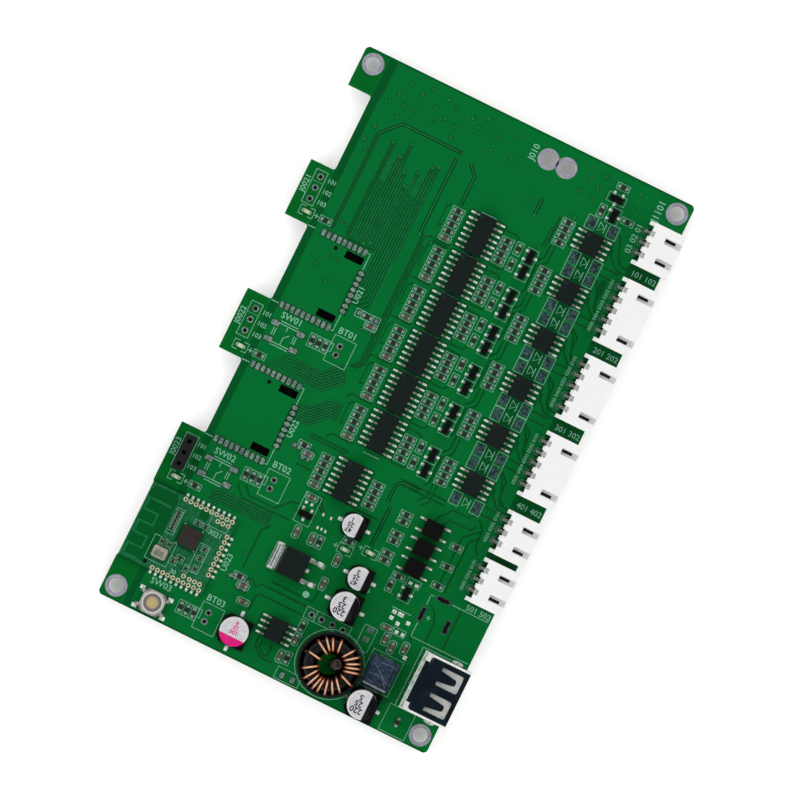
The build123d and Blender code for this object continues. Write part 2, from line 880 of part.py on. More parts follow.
turn_height = core_height + 2 * (wire_clearance + wire_size)
with BuildPart() as turn:
    with BuildSketch(Plane.XZ.offset(-wire_size / 2)) as turn_outline:
        with Locations(((turn_outer + turn_inner) / 2, floor_top + turn_height / 2)):
            Rectangle(turn_outer - turn_inner, turn_height)
            chamfer(turn_outline.vertices(), wire_size / 2)
            Rectangle(
                turn_outer - turn_inner - 2 * wire_size,
                turn_height - 2 * wire_size,
                mode=Mode.SUBTRACT,
            )
    extrude(amount=wire_size)
with BuildPart() as winding:
    with Locations(*[Location((choke_x, choke_y, 0), (0, 0, a)) for a in turn_angles]):
        add(turn.part)
    with Locations(*[Location((x, y, -pin_tail), (0, 0, a)) for x, y, a in choke_tail_places]):
        Box(
            wire_size,
            wire_size,
            floor_top + wire_size + pin_tail,
            align=(Align.CENTER, Align.CENTER, Align.MIN),
        )
finish(winding, "choke_winding")
with BuildPart() as glue:
    with BuildSketch(Plane.XY.offset(face)):
        with Locations((choke_x + glue_shift, choke_y + glue_shift)):
            Circle(glue_radius)
    extrude(amount=glue_height, taper=glue_taper)
finish(glue, "choke_glue")

# Regulator: moulded body on a heat tab, two leads and a cut centre lead
with BuildPart() as regulator:
    with Locations((regulator_x, regulator_y, face + tab_thickness - body_standoff)):
        add(
            moulded_body(
                regulator_width,
                regulator_length,
                regulator_height - tab_thickness + body_standoff,
                regulator_lead_drop,
                regulator_draft,
            )
        )
finish(regulator, "regulator_body")
regulator_side = regulator_x + regulator_width / 2
regulator_lead = gull_lead(
    tab_thickness + regulator_lead_drop - body_standoff, regulator_reach, regulator_lead_width
)
with BuildPart() as lead_frame:
    with BuildSketch(Plane.XY.offset(face)) as tab_outline:
        with Locations((regulator_x - regulator_width / 2 - tab_reach, regulator_y)):
            Rectangle(
                tab_reach + regulator_width,
                tab_width,
                align=(Align.MIN, Align.CENTER),
            )
        chamfer(tab_outline.vertices().group_by(Axis.X)[0], tab_chamfer)
    extrude(amount=tab_thickness)
    with Locations((regulator_side, regulator_y, face)):
        with GridLocations(1, regulator_lead_pitch, 1, 2):
            add(regulator_lead)
finish(lead_frame, "regulator_leads")

# Power diode: moulded block with a folded strap at each end
with BuildPart() as diode:
    with Locations(Location((diode_x, diode_y, face))):
        add(moulded_body(diode_width, diode_length, diode_height, diode_parting, diode_draft))
finish(diode, "power_diode")
strap = gull_lead(diode_parting, strap_reach, strap_width)
strap_places = [
    Location((diode_x, diode_y + diode_length / 2, face), (0, 0, 90)),
    Location((diode_x, diode_y - diode_length / 2, face), (0, 0, -90)),
]
with BuildPart() as straps:
    with Locations(*strap_places):
        add(strap)
finish(straps, "diode_straps")

# Reset switch: moulded base, snap dome, flanged plunger and a pressed cover
cover_bottom = face + switch_body
with BuildPart() as switch_base:
    with BuildSketch(Plane.XY.offset(face)):
        with Locations((switch_x, switch_y)):
            Rectangle(switch_size, switch_size)
    extrude(amount=switch_body)
    chamfer(switch_base.edges().filter_by(Axis.Z), switch_corner)
    with BuildSketch(Plane.XY.offset(face + switch_floor)):
        with Locations((switch_x, switch_y)):
            Circle(flange_radius + plunger_clearance)
    extrude(amount=switch_body, mode=Mode.SUBTRACT)
finish(switch_base, "switch_base")
with BuildPart() as switch_cover_plate:
    with BuildSketch(Plane.XY.offset(cover_bottom)) as cover_outline:
        with Locations((switch_x, switch_y)):
            Rectangle(switch_size, switch_size)
        chamfer(cover_outline.vertices(), switch_corner)
        with Locations((switch_x, switch_y)):
            Circle(plunger_radius + plunger_clearance, mode=Mode.SUBTRACT)
    extrude(amount=switch_cover)
finish(switch_cover_plate, "switch_cover")
dome_floor = face + switch_floor
flange_top = cover_bottom - flange_gap
flange_bottom = flange_top - flange_height
with BuildPart() as dome:
    with BuildSketch(upright(switch_x, switch_y, dome_floor)):
        with BuildLine():
            crown = dome_rise + dome_thickness
            Polyline((0, 0), (dome_radius, 0), (dome_crown, crown), (0, crown), close=True)
        make_face()
    revolve(axis=Axis((switch_x, switch_y, 0), (0, 0, 1)))
finish(dome, "switch_dome")
with BuildPart() as plunger:
    with BuildSketch(Plane.XY.offset(flange_bottom)):
        with Locations((switch_x, switch_y)):
            Circle(flange_radius)
    extrude(amount=flange_height)
    with BuildSketch(Plane.XY.offset(flange_bottom)):
        with Locations((switch_x, switch_y)):
            Circle(plunger_radius)
    extrude(amount=face + plunger_height - flange_bottom)
    chamfer(plunger.faces().sort_by(Axis.Z)[-1].edges(), plunger_clearance)
finish(plunger, "switch_button")
switch_lead = gull_lead(switch_lead_drop, switch_lead_reach, switch_lead_width)
switch_lead_places = []
for offset in (switch_lead_offset - switch_corner / 2, switch_corner / 2 - switch_lead_offset):
    switch_lead_places += [
        Location((switch_x + switch_size / 2, switch_y + offset, face)),
        Location((switch_x - switch_size / 2, switch_y + offset, face), (0, 0, 180)),
    ]
with BuildPart() as switch_leads:
    with Locations(*switch_lead_places):
        add(switch_lead)
finish(switch_leads, "switch_leads")

# Socket strip: tall moulded body, a square mouth for each way, pins down through the board
with BuildPart() as strip:
    with Locations((strip_x, strip_y, face)):
        Box(
            strip_width,
            strip_ways * strip_pitch,
            strip_height,
            align=(Align.CENTER, Align.CENTER, Align.MIN),
        )
    with Locations(*[(strip_x, row, face + strip_height) for row in strip_rows]):
        Box(
            strip_mouth,
            strip_mouth,
            strip_mouth_depth,
            align=(Align.CENTER, Align.CENTER, Align.MAX),
            mode=Mode.SUBTRACT,
        )
finish(strip, "socket_strip")
with BuildPart() as strip_pins:
    with Locations(*[(strip_x, row, -pin_tail) for row in strip_rows]):
        Box(
            strip_pin,
            strip_pin,
            face + pin_tail,
            align=(Align.CENTER, Align.CENTER, Align.MIN),
        )
finish(strip_pins, "socket_strip_pins")

# Radio module: a thin board with half-hole edge contacts, a chip, a crystal and small chips
module_face = face + module_thickness
module_left = left + module_overhang
module_width = module_right - module_left
module_x = (module_right + module_left) / 2
module_y = bay_centres[-1]
module_middle_notch = module_notch_first_x + (module_notches - 1) * module_notch_pitch / 2
with BuildPart() as module:
    with BuildSketch(Plane.XY.offset(face)):
        with Locations((module_x, module_y)):
            Rectangle(module_width, module_length)
        with Locations((module_middle_notch, module_y)):
            with GridLocations(module_notch_pitch, module_length, module_notches, 2):
                RegularPolygon(module_notch_radius, 6, mode=Mode.SUBTRACT)
        with Locations((module_right, module_y)):
            with GridLocations(1, module_side_notch_pitch, 1, module_side_notches):
                RegularPolygon(module_notch_radius, 6, mode=Mode.SUBTRACT)
    extrude(amount=module_thickness)
finish(module, "radio_board")
with BuildPart() as radio_chip:
    with Locations((*radio_chip_at, module_face)):
        Box(
            radio_chip_size,
            radio_chip_size,
            radio_chip_height,
            align=(Align.CENTER, Align.CENTER, Align.MIN),
        )
finish(radio_chip, "radio_chip")
with BuildPart() as crystal:
    with BuildSketch(Plane.XY.offset(module_face)):
        with Locations(crystal_at):
            Rectangle(*crystal_size)
    extrude(amount=crystal_height)
    chamfer(crystal.edges().filter_by(Axis.Z), crystal_corner)
finish(crystal, "radio_crystal")
with BuildPart() as radio_chips:
    with Locations(*[Location((x, y, module_face), (0, 0, a)) for x, y, a in radio_chip_places]):
        Box(*small_chip, align=(Align.CENTER, Align.CENTER, Align.MIN))
finish(radio_chips, "radio_small_chips")
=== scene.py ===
"""Dresses the control board of a power bank: finishes, solder, copper, print and fine parts."""
import logging
import math
from dataclasses import dataclass
from enum import Enum
from typing import Iterable, Sequence

import bpy
from mathutils import Matrix, Vector


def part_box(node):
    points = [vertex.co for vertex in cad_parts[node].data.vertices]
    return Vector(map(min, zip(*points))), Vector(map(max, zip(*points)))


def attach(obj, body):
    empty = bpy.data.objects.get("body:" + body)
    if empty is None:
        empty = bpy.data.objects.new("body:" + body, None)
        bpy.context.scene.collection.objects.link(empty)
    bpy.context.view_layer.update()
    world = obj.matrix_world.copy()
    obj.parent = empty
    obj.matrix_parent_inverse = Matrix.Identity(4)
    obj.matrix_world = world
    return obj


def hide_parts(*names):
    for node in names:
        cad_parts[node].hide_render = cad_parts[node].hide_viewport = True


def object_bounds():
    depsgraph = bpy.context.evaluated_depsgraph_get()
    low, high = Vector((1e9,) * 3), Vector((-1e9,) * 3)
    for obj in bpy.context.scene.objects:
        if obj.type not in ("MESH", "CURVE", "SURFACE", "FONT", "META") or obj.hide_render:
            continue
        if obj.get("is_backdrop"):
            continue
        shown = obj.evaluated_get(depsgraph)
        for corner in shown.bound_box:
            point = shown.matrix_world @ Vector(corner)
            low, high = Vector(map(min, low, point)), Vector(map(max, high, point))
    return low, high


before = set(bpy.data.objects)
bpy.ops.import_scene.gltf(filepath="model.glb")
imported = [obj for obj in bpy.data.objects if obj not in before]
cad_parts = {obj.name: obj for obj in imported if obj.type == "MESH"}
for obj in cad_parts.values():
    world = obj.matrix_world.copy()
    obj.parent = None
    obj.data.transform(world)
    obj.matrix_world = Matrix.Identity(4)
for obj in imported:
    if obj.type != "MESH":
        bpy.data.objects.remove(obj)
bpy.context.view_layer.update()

MM = 0.001
LOG = logging.getLogger("board")
Point = tuple[float, float]
Box = tuple[float, float, float, float]
Colour = tuple[float, float, float]


class Layer(Enum):
    """Heights of the thin work above the board's face, in millimetres."""

    POUR = 0.008
    TRACK = 0.016
    PAD = 0.03
    PRINT = 0.034


class Slot(Enum):
    """The record's material slots."""

    BOARD = "green_board"
    PACKAGE = "black_package"
    SLATE = "slate_package"
    BLACK = "black_plastic"
    NYLON = "white_nylon"
    TAN = "tan_plastic"
    TIN = "tinned_metal"
    STEEL = "socket_steel"
    CRYSTAL = "crystal_steel"
    CAN = "can_aluminium"
    FERRITE = "ferrite"
    COPPER = "copper_wire"
    GLUE = "dark_glue"
    DARK = "dark_ceramic"
    BROWN = "tan_ceramic"
    LAMP = "lamp_resin"


class Wire:
    """A shader value that Python's operators work on."""

    def __init__(self, shader: "Shader", socket: bpy.types.NodeSocket) -> None:
        """Keeps the shader and the socket that gives the value."""
        self.shader = shader
        self.socket = socket

    def _maths(self, operation: str, *values: object) -> "Wire":
        """One Math node on the given values."""
        return self.shader.node("ShaderNodeMath", {"operation": operation}, dict(enumerate(values)))

    def __abs__(self) -> "Wire":
        """Size without its sign."""
        return self._maths("ABSOLUTE", self)

    def __add__(self, other: object) -> "Wire":
        """Sum."""
        return self._maths("ADD", self, other)

    __radd__ = __add__

    def __sub__(self, other: object) -> "Wire":
        """Difference."""
        return self._maths("SUBTRACT", self, other)

    def __rsub__(self, other: object) -> "Wire":
        """Difference, with the value on the right."""
        return self._maths("SUBTRACT", other, self)

    def __mul__(self, other: object) -> "Wire":
        """Product."""
        return self._maths("MULTIPLY", self, other)

    __rmul__ = __mul__

    def __gt__(self, other: object) -> "Wire":
        """1 where the value is greater."""
        return self._maths("GREATER_THAN", self, other)

    def __lt__(self, other: object) -> "Wire":
        """1 where the value is less."""
        return self._maths("LESS_THAN", self, other)


class Shader:
    """A material being wired."""

    def __init__(self, name: str, world: bpy.types.World | None = None) -> None:
        """Starts an empty material, or wires a world.

        Args:
            name: The material's name.
            world: The world to wire, where there is one.
        """
        self.material = world or bpy.data.materials.new(name)
        self.material.use_nodes = True
        self.tree = self.material.node_tree
        self.surface = self.tree.nodes.get("Principled BSDF")

    def node(self, kind: str, settings: dict, inputs: dict, output: int | str = 0) -> Wire:
        """Adds a node.

        Args:
            kind: The node's type.
            settings: Its properties, set first.
            inputs: Values or wires for its sockets.
            output: The socket that the wire reads.

        Returns:
            The wire from that output.
        """
        made = self.tree.nodes.new(kind)
        for key, value in settings.items():
            setattr(made, key, value)
        for key, value in inputs.items():
            self.feed(made.inputs[key], value)
        return Wire(self, made.outputs[output])

    def feed(self, socket: bpy.types.NodeSocket, value: object) -> None:
        """Links a wire to a socket, or writes a plain value on it.

        Args:
            socket: The socket that is fed.
            value: A wire, a number or a colour.
        """
        if isinstance(value, Wire):
            self.tree.links.new(value.socket, socket)
        else:
            socket.default_value = value

    def place(self) -> Wire:
        """The point on the object, in metres."""
        return self.node("ShaderNodeTexCoord", {}, {}, "Object")

    def axis(self, number: int) -> Wire:
        """The point's place along one axis, in millimetres."""
        return self.node("ShaderNodeSeparateXYZ", {}, {0: self.place()}, number) * (1 / MM)

    def noise(self, grain: float, detail: float = 3.0) -> Wire:
        """Soft noise.

        Args:
            grain: The size of its patches, in millimetres.
            detail: How many finer layers it has.

        Returns:
            The noise, from 0 to 1.
        """
        inputs = {"Vector": self.place(), "Scale": 1 / (grain * MM), "Detail": detail}
        return self.node("ShaderNodeTexNoise", {}, inputs, "Fac")

    def mix(self, factor: object, low: object, high: object) -> Wire:
        """Mixes two colours."""
        inputs = {0: factor, 6: low, 7: high}
        return self.node("ShaderNodeMix", {"data_type": "RGBA"}, inputs, 2)

    def bump(self, height: Wire, depth: float) -> Wire:
        """A bumped normal.

        Args:
            height: The relief, from 0 to 1.
            depth: Its depth in millimetres.

        Returns:
            The normal.
        """
        inputs = {"Strength": 1.0, "Distance": depth * MM, "Height": height}
        return self.node("ShaderNodeBump", {}, inputs, "Normal")

    def upward(self, kind: str = "True Normal") -> Wire:
        """How far the surface faces up, from -1 to 1."""
        normal = self.node("ShaderNodeNewGeometry", {}, {}, kind)
        return self.node("ShaderNodeSeparateXYZ", {}, {0: normal}, 2)


def seen(colour: Colour) -> tuple[float, float, float, float]:
    """A colour as it is seen, made linear.

    Args:
        colour: Red, green and blue from 0 to 1, as a picture has them.

    Returns:
        The linear colour with alpha 1.
    """
    linear = [c / 12.92 if c <= 0.04045 else ((c + 0.055) / 1.055) ** 2.4 for c in colour]
    return (*linear, 1.0)


@dataclass(frozen=True)
class Finish:
    """A surface with two tones, uneven gloss and a fine relief."""

    name: str
    slot: Slot
    tone: Colour
    second: Colour
    roughness: float
    metallic: float = 0.0
    grain: float = 1.5
    relief: float = 0.004
    fine: float = 0.12
    coat: float = 0.0
    uneven: float = 0.12
    shine: float = 0.5
    contrast: float = 1.0

    @property
    def label(self) -> str:
        """The material's name, which no CAD material has."""
        return f"{self.name}_finish"

    def shader(self) -> Shader:
        """Wires the finish.

        Returns:
            The wired material.
        """
        shade = Shader(self.label)
        broad = (shade.noise(self.grain) - 0.5) * self.contrast + 0.5
        fine = shade.noise(self.fine, 2.0)
        surface = shade.surface.inputs
        shade.feed(surface["Base Color"], shade.mix(broad, seen(self.tone), seen(self.second)))
        gloss = self.roughness - self.uneven / 2 + self.uneven * fine
        shade.feed(surface["Roughness"], gloss)
        shade.feed(surface["Normal"], shade.bump(fine, self.relief))
        surface["Metallic"].default_value = self.metallic
        surface["Coat Weight"].default_value = self.coat
        surface["Specular IOR Level"].default_value = self.shine
        return shade

    def material(self) -> bpy.types.Material:
        """The finish as a material, made once."""
        made = bpy.data.materials.get(self.label)
        return made or self.shader().material


@dataclass(frozen=True)
class PatchedFinish(Finish):
    """A finish with another colour over part of the surface."""

    def patch(self, shade: Shader) -> tuple[Wire, object]:
        """Finds where the other colour lies.

        Args:
            shade: The material being wired.

        Returns:
            1 where it lies and 0 elsewhere, and the colour.
        """
        raise NotImplementedError

    def shader(self) -> Shader:
        """Wires the finish and lays the other colour over it.

        Returns:
            The wired material.
        """
        shade = super().shader()
        surface = shade.surface.inputs["Base Color"]
        plain = Wire(shade, surface.links[0].from_socket)
        mask, colour = self.patch(shade)
        shade.feed(surface, shade.mix(mask, plain, colour))
        return shade


@dataclass(frozen=True)
class BoardFinish(PatchedFinish):
    """Solder mask over copper, with the bare glass edge on upright faces."""

    edge: Colour = (0.33, 0.40, 0.20)

    def patch(self, shade: Shader) -> tuple[Wire, object]:
        """The upright faces, in the colour of bare glass."""
        return abs(shade.upward()) < 0.5, seen(self.edge)


@dataclass(frozen=True)
class PlateFinish(PatchedFinish):
    """Bright plate with darker corners and a darker ring round its middle."""

    middle: Point = (-27.2, -61.0)
    reach: float = 3.75
    ring: tuple[float, float] = (1.45, 1.85)
    shade_tone: Colour = (0.45, 0.43, 0.42)

    def patch(self, shade: Shader) -> tuple[Wire, object]:
        """The corners and the ring, in shade.

        Args:
            shade: The material being wired.

        Returns:
            1 on them, and the shade's colour.
        """
        across, along = (abs(shade.axis(axis) - self.middle[axis]) for axis in (0, 1))
        distance = across * across + along * along
        band = (distance > self.ring[0] ** 2) * (distance < self.ring[1] ** 2)
        return (across + along > self.reach) + band, seen(self.shade_tone)


@dataclass(frozen=True)
class SheetFinish(PatchedFinish):
    """Bright plated sheet whose upward face is dark and mirror like: a painted reflection of the dark room overhead.
    """

    # Painted reflection: the dark tones of the upward face stand for the dark room that the plate mirrors.
    top: Colour = (0.175, 0.24, 0.285)
    clouds: Colour = (0.12, 0.17, 0.21)
    level: float = 0.9
    cloud_size: float = 2.4

    def patch(self, shade: Shader) -> tuple[Wire, object]:
        """The upward face, with a painted reflection: dark with softly darker clouds.

        Args:
            shade: The material being wired.

        Returns:
            1 on that face, and its clouded colour.
        """
        up = shade.upward() > self.level
        clouds = (shade.noise(self.cloud_size) - 0.5) * 2.5 + 0.5
        return up, shade.mix(clouds, seen(self.top), seen(self.clouds))


@dataclass(frozen=True)
class PinFinish(PatchedFinish):
    """Tinned pins whose front ends carry painted shade."""

    front_from: float = 34.0
    # Painted shade: the colour of the pins' front ends inside the headers.
    front: Colour = (0.08, 0.08, 0.085)

    def patch(self, shade: Shader) -> tuple[Wire, object]:
        """The front ends, painted nearly black as shade."""
        return shade.axis(0) > self.front_from, seen(self.front)


@dataclass(frozen=True)
class WireFinish(PatchedFinish):
    """Enamelled wire with a painted highlight along its upper side and painted shade on its flanks, between the
    turns.
    """

    # Painted shade on the wire's flanks.
    between: Colour = (0.50, 0.23, 0.12)

    def patch(self, shade: Shader) -> tuple[Wire, object]:
        """The flanks: painted shade, darker the more they face sideways."""
        up = shade.upward("Normal")
        return 1 - up * up * up * up * up, seen(self.between)


MASK = BoardFinish("solder_mask", Slot.BOARD, (0.0, 0.432, 0.182), (0.0, 0.40, 0.165), 0.4,
                   grain=9.0, relief=0.003, fine=0.35, shine=0.1)
MODULE_MASK = BoardFinish("module_mask", Slot.BOARD, (0.16, 0.43, 0.29), (0.0, 0.33, 0.15), 0.4, grain=0.7,
                          relief=0.003, fine=0.35, shine=0.1, contrast=2.5)
TAB = Finish("mask_on_tabs", Slot.BOARD, (0.0, 0.385, 0.13), (0.0, 0.365, 0.12), 0.4, grain=5.0, shine=0.1)
GAP = Finish("mask_over_glass", Slot.BOARD, (0.0, 0.335, 0.14), (0.0, 0.305, 0.12), 0.4, grain=5.0, shine=0.1)
DEEP = Finish("mask_in_gaps", Slot.BOARD, (0.0, 0.25, 0.09), (0.0, 0.22, 0.08), 0.4, grain=3.0, shine=0.1)
TRACK = Finish("mask_over_track", Slot.BOARD, (0.07, 0.47, 0.26), (0.0, 0.395, 0.185), 0.4, grain=1.6, shine=0.1,
               contrast=2.0)
LIT = Finish("mask_over_ring", Slot.BOARD, (0.20, 0.54, 0.34), (0.02, 0.40, 0.19), 0.4, grain=0.4, shine=0.1,
             contrast=3.0)
# Painted light: a brighter green standing in for light in the choke's deep, shaded hole.
PAINTED_LIGHT_MASK = Finish("mask_with_painted_light", Slot.BOARD, (0.05, 0.80, 0.28), (0.0, 0.62, 0.18), 0.4, grain=1.5, shine=0.1)
PRINT = Finish("pale_print", Slot.BOARD, (0.52, 0.77, 0.65), (0.45, 0.70, 0.58), 0.6, grain=0.8, shine=0.2)
SOLDER = Finish("solder", Slot.TIN, (0.94, 0.96, 0.94), (0.66, 0.72, 0.69), 0.3, 0.3, grain=0.5,
                relief=0.02, fine=0.25, contrast=2.5)
TINNED = Finish("tinned_ring", Slot.TIN, (0.68, 0.67, 0.72), (0.55, 0.55, 0.60), 0.4, 0.15, grain=0.9,
                contrast=2.5)
# Painted reflection: the dark, mottled tone of the bare tinned pads stands for the dark room that they mirror.
PAD_WITH_PAINTED_REFLECTION = Finish("pad_with_painted_reflection", Slot.TIN, (0.27, 0.37, 0.37), (0.08, 0.17, 0.18), 0.4, 0.0, grain=0.6,
              relief=0.03, fine=0.3, shine=0.2, contrast=4.0)
PALE = Finish("pale_pad", Slot.TIN, (0.53, 0.61, 0.57), (0.31, 0.38, 0.37), 0.4, 0.1, grain=0.5,
              relief=0.02, shine=0.3, contrast=3.5)
LAND = Finish("covered_land", Slot.TIN, (0.38, 0.52, 0.45), (0.20, 0.34, 0.27), 0.4, 0.1, grain=0.5, contrast=3.0)
LEAD = Finish("lead_plate", Slot.TIN, (0.64, 0.67, 0.62), (0.42, 0.46, 0.41), 0.3, 0.4, grain=0.5, contrast=2.0)
# The header pins' front ends are painted nearly black as shade.
PIN = PinFinish("header_pin", Slot.TIN, (0.58, 0.62, 0.58), (0.32, 0.37, 0.34), 0.35, 0.2, grain=0.5,
                contrast=2.5)
END = Finish("chip_end", Slot.TIN, (0.62, 0.72, 0.66), (0.44, 0.54, 0.49), 0.35, 0.2, grain=0.5, contrast=2.0)
GOLD = Finish("gold_pad", Slot.TIN, (0.90, 0.89, 0.76), (0.68, 0.67, 0.50), 0.35, 0.15, grain=0.6, contrast=2.5)
PACKAGE = Finish("moulding_compound", Slot.PACKAGE, (0.065, 0.115, 0.105), (0.035, 0.075, 0.065), 0.55,
                 grain=1.0, relief=0.006, fine=0.08, shine=0.15)
SLATE = Finish("slate_compound", Slot.SLATE, (0.21, 0.28, 0.37), (0.09, 0.14, 0.20), 0.5, grain=0.9,
               shine=0.3, contrast=3.0)
STREAK = Finish("slate_streak", Slot.SLATE, (0.52, 0.60, 0.68), (0.38, 0.46, 0.55), 0.5, shine=0.3)
BLACK = Finish("black_moulding", Slot.BLACK, (0.07, 0.075, 0.08), (0.045, 0.05, 0.05), 0.5, shine=0.3)
INK = Finish("deep_black", Slot.BLACK, (0.025, 0.04, 0.035), (0.01, 0.018, 0.014), 0.5, shine=0.12)
NYLON = Finish("white_nylon", Slot.NYLON, (0.97, 0.97, 0.965), (0.94, 0.945, 0.94), 0.45, relief=0.003)
# The insulator's ivory colour; on the headers' bridges this greyer tone is painted shade.
IVORY_AND_PAINTED_SHADE = Finish("ivory_moulding_and_painted_shade", Slot.NYLON, (0.86, 0.86, 0.84), (0.78, 0.79, 0.77), 0.5, grain=0.8)
REAR = Finish("socket_back", Slot.NYLON, (0.72, 0.78, 0.74), (0.42, 0.50, 0.46), 0.5, grain=0.7, contrast=3.0)
TAN = Finish("tan_button", Slot.TAN, (0.78, 0.70, 0.50), (0.66, 0.56, 0.34), 0.45)
# The shell's upward face gets a painted dark reflection.
SHEET_PAINTED_REFLECTION = SheetFinish("sheet_with_painted_reflection", Slot.STEEL, (0.93, 0.92, 0.90), (0.68, 0.68, 0.66), 0.25, 0.8, grain=1.2,
                    contrast=2.5)
COVER = PlateFinish("switch_plate", Slot.STEEL, (0.76, 0.75, 0.74), (0.62, 0.60, 0.59), 0.35, 0.1, grain=0.7,
                    contrast=2.0)
LID = Finish("crystal_lid", Slot.CRYSTAL, (0.72, 0.67, 0.62), (0.56, 0.55, 0.50), 0.35, 0.1, grain=0.8,
             contrast=2.5)
CAN = Finish("can_aluminium", Slot.CAN, (0.86, 0.85, 0.86), (0.74, 0.74, 0.76), 0.35, 0.0, grain=0.6, contrast=2.0)
BRIGHT = Finish("bright_edge", Slot.STEEL, (0.97, 0.97, 0.95), (0.88, 0.88, 0.86), 0.3, 0.2, grain=1.0)
MARK = Finish("can_mark", Slot.CAN, (0.02, 0.025, 0.03), (0.01, 0.012, 0.015), 0.45, shine=0.15)
PINK = Finish("pink_mark", Slot.CAN, (0.88, 0.10, 0.50), (0.80, 0.06, 0.44), 0.45, shine=0.2)
FERRITE = Finish("coated_ferrite", Slot.FERRITE, (0.085, 0.07, 0.07), (0.03, 0.03, 0.035), 0.5,
                 grain=0.7, relief=0.02, fine=0.3, shine=0.2)
# The wire's bright tones are its painted highlight; its flanks get painted shade.
COPPER = WireFinish("enamelled_wire_painted_shading", Slot.COPPER, (1.0, 0.90, 0.74), (0.93, 0.62, 0.42), 0.3, 0.1, grain=0.7,
                    contrast=2.0)
GLUE = Finish("dark_glue", Slot.GLUE, (0.56, 0.47, 0.48), (0.20, 0.16, 0.20), 0.35, grain=0.6, relief=0.05,
              fine=0.4, contrast=3.0)
CHIP = Finish("dark_ceramic", Slot.DARK, (0.17, 0.18, 0.16), (0.10, 0.115, 0.10), 0.45, grain=0.5, shine=0.3)
BROWN = Finish("tan_ceramic", Slot.BROWN, (0.42, 0.32, 0.28), (0.27, 0.22, 0.19), 0.5, grain=0.5,
               contrast=2.5)
LAMP = Finish("lamp_resin", Slot.LAMP, (0.86, 0.90, 0.78), (0.60, 0.68, 0.52), 0.3, grain=0.7, contrast=2.5)
RUST = Finish("reddish_hole", Slot.BLACK, (0.26, 0.12, 0.09), (0.12, 0.06, 0.05), 0.6, grain=0.5, contrast=2.0)
FUSCOUS = Finish("brown_compound", Slot.PACKAGE, (0.19, 0.16, 0.16), (0.14, 0.12, 0.12), 0.55, shine=0.25)
# Black ink for the dark spots; painted shade in the slots, pin holes, jack slots and at the headers' backs.
INK_AND_PAINTED_SHADE = Finish("dark_ink_and_painted_shade", Slot.BLACK, (0.03, 0.045, 0.04), (0.015, 0.02, 0.02), 0.8, shine=0.1)


def clear_selection() -> None:
    """Leaves nothing selected, in object mode."""
    if bpy.context.mode != "OBJECT":
        bpy.ops.object.mode_set(mode="OBJECT")
    bpy.ops.object.select_all(action="DESELECT")


def link(name: str, data: bpy.types.ID) -> bpy.types.Object:
    """Puts a new object into the scene.

    Args:
        name: Its name.
        data: The mesh, curve, lamp or camera that it shows.

    Returns:
        The object.
    """
    made = bpy.data.objects.new(name, data)
    bpy.context.collection.objects.link(made)
    return made


def activate(piece: bpy.types.Object) -> None:
    """Selects a piece alone and makes it the active one.

    Args:
        piece: The piece.
    """
    clear_selection()
    piece.select_set(True)
    bpy.context.view_layer.objects.active = piece


def edit_all() -> None:
    """Opens the active piece in edit mode with all of it selected."""
    bpy.ops.object.mode_set(mode="EDIT")
    bpy.ops.mesh.select_all(action="SELECT")


def settle(name: str) -> bpy.types.Object:
    """Names the active piece and puts its place into its mesh.

    Args:
        name: The piece's name.

    Returns:
        The piece.
    """
    piece = bpy.context.object
    piece.name = name
    bpy.ops.object.transform_apply(location=True, rotation=True, scale=True)
    return piece


def soften(piece: bpy.types.Object, width: float, segments: int = 2, angle: float = 40) -> None:
    """Bevels the sharp edges of a piece.

    Args:
        piece: The piece.
        width: The bevel's width in millimetres.
        segments: Its number of steps.
        angle: The least angle of a sharp edge, in degrees.
    """
    step = piece.modifiers.new("soft", "BEVEL")
    step.width = width * MM
    step.segments = segments
    step.limit_method = "ANGLE"
    step.angle_limit = math.radians(angle)
    bpy.context.view_layer.objects.active = piece
    bpy.ops.object.modifier_apply(modifier=step.name)


def smooth(piece: bpy.types.Object, angle: float = 35) -> None:
    """Shades a piece smooth, with the edges sharper than the angle kept."""
    activate(piece)
    bpy.ops.object.shade_smooth_by_angle(angle=math.radians(angle))


def block(name: str, low: Sequence[float], high: Sequence[float], bevel: float = 0.0,
          segments: int = 2) -> bpy.types.Object:
    """A softened block between two corners.

    Args:
        name: The piece's name.
        low: The lowest corner in millimetres.
        high: The highest corner.
        bevel: The width of its softened edges.
        segments: The steps of these edges.

    Returns:
        The block.
    """
    clear_selection()
    middle = [(a + b) / 2 * MM for a, b in zip(low, high)]
    size = [(b - a) * MM for a, b in zip(low, high)]
    bpy.ops.mesh.primitive_cube_add(size=1, location=middle, scale=size)
    piece = settle(name)
    if bevel:
        soften(piece, bevel, segments)
    return piece


def drum(name: str, centre: Sequence[float], radius: float, height: float, bevel: float = 0.0,
         sides: int = 32, top_radius: float | None = None) -> bpy.types.Object:
    """An upright round piece standing on a point.

    Args:
        name: The piece's name.
        centre: The middle of its foot in millimetres.
        radius: The radius of its foot.
        height: Its height.
        bevel: The width of its softened edges.
        sides: The number of its upright faces.
        top_radius: The radius of its top, where that differs.

    Returns:
        The drum, shaded smooth.
    """
    clear_selection()
    middle = (centre[0] * MM, centre[1] * MM, (centre[2] + height / 2) * MM)
    upper = radius if top_radius is None else top_radius
    bpy.ops.mesh.primitive_cone_add(vertices=sides, radius1=radius * MM, radius2=upper * MM,
                                    depth=height * MM, location=middle)
    piece = settle(name)
    if bevel:
        soften(piece, bevel)
    smooth(piece)
    return piece


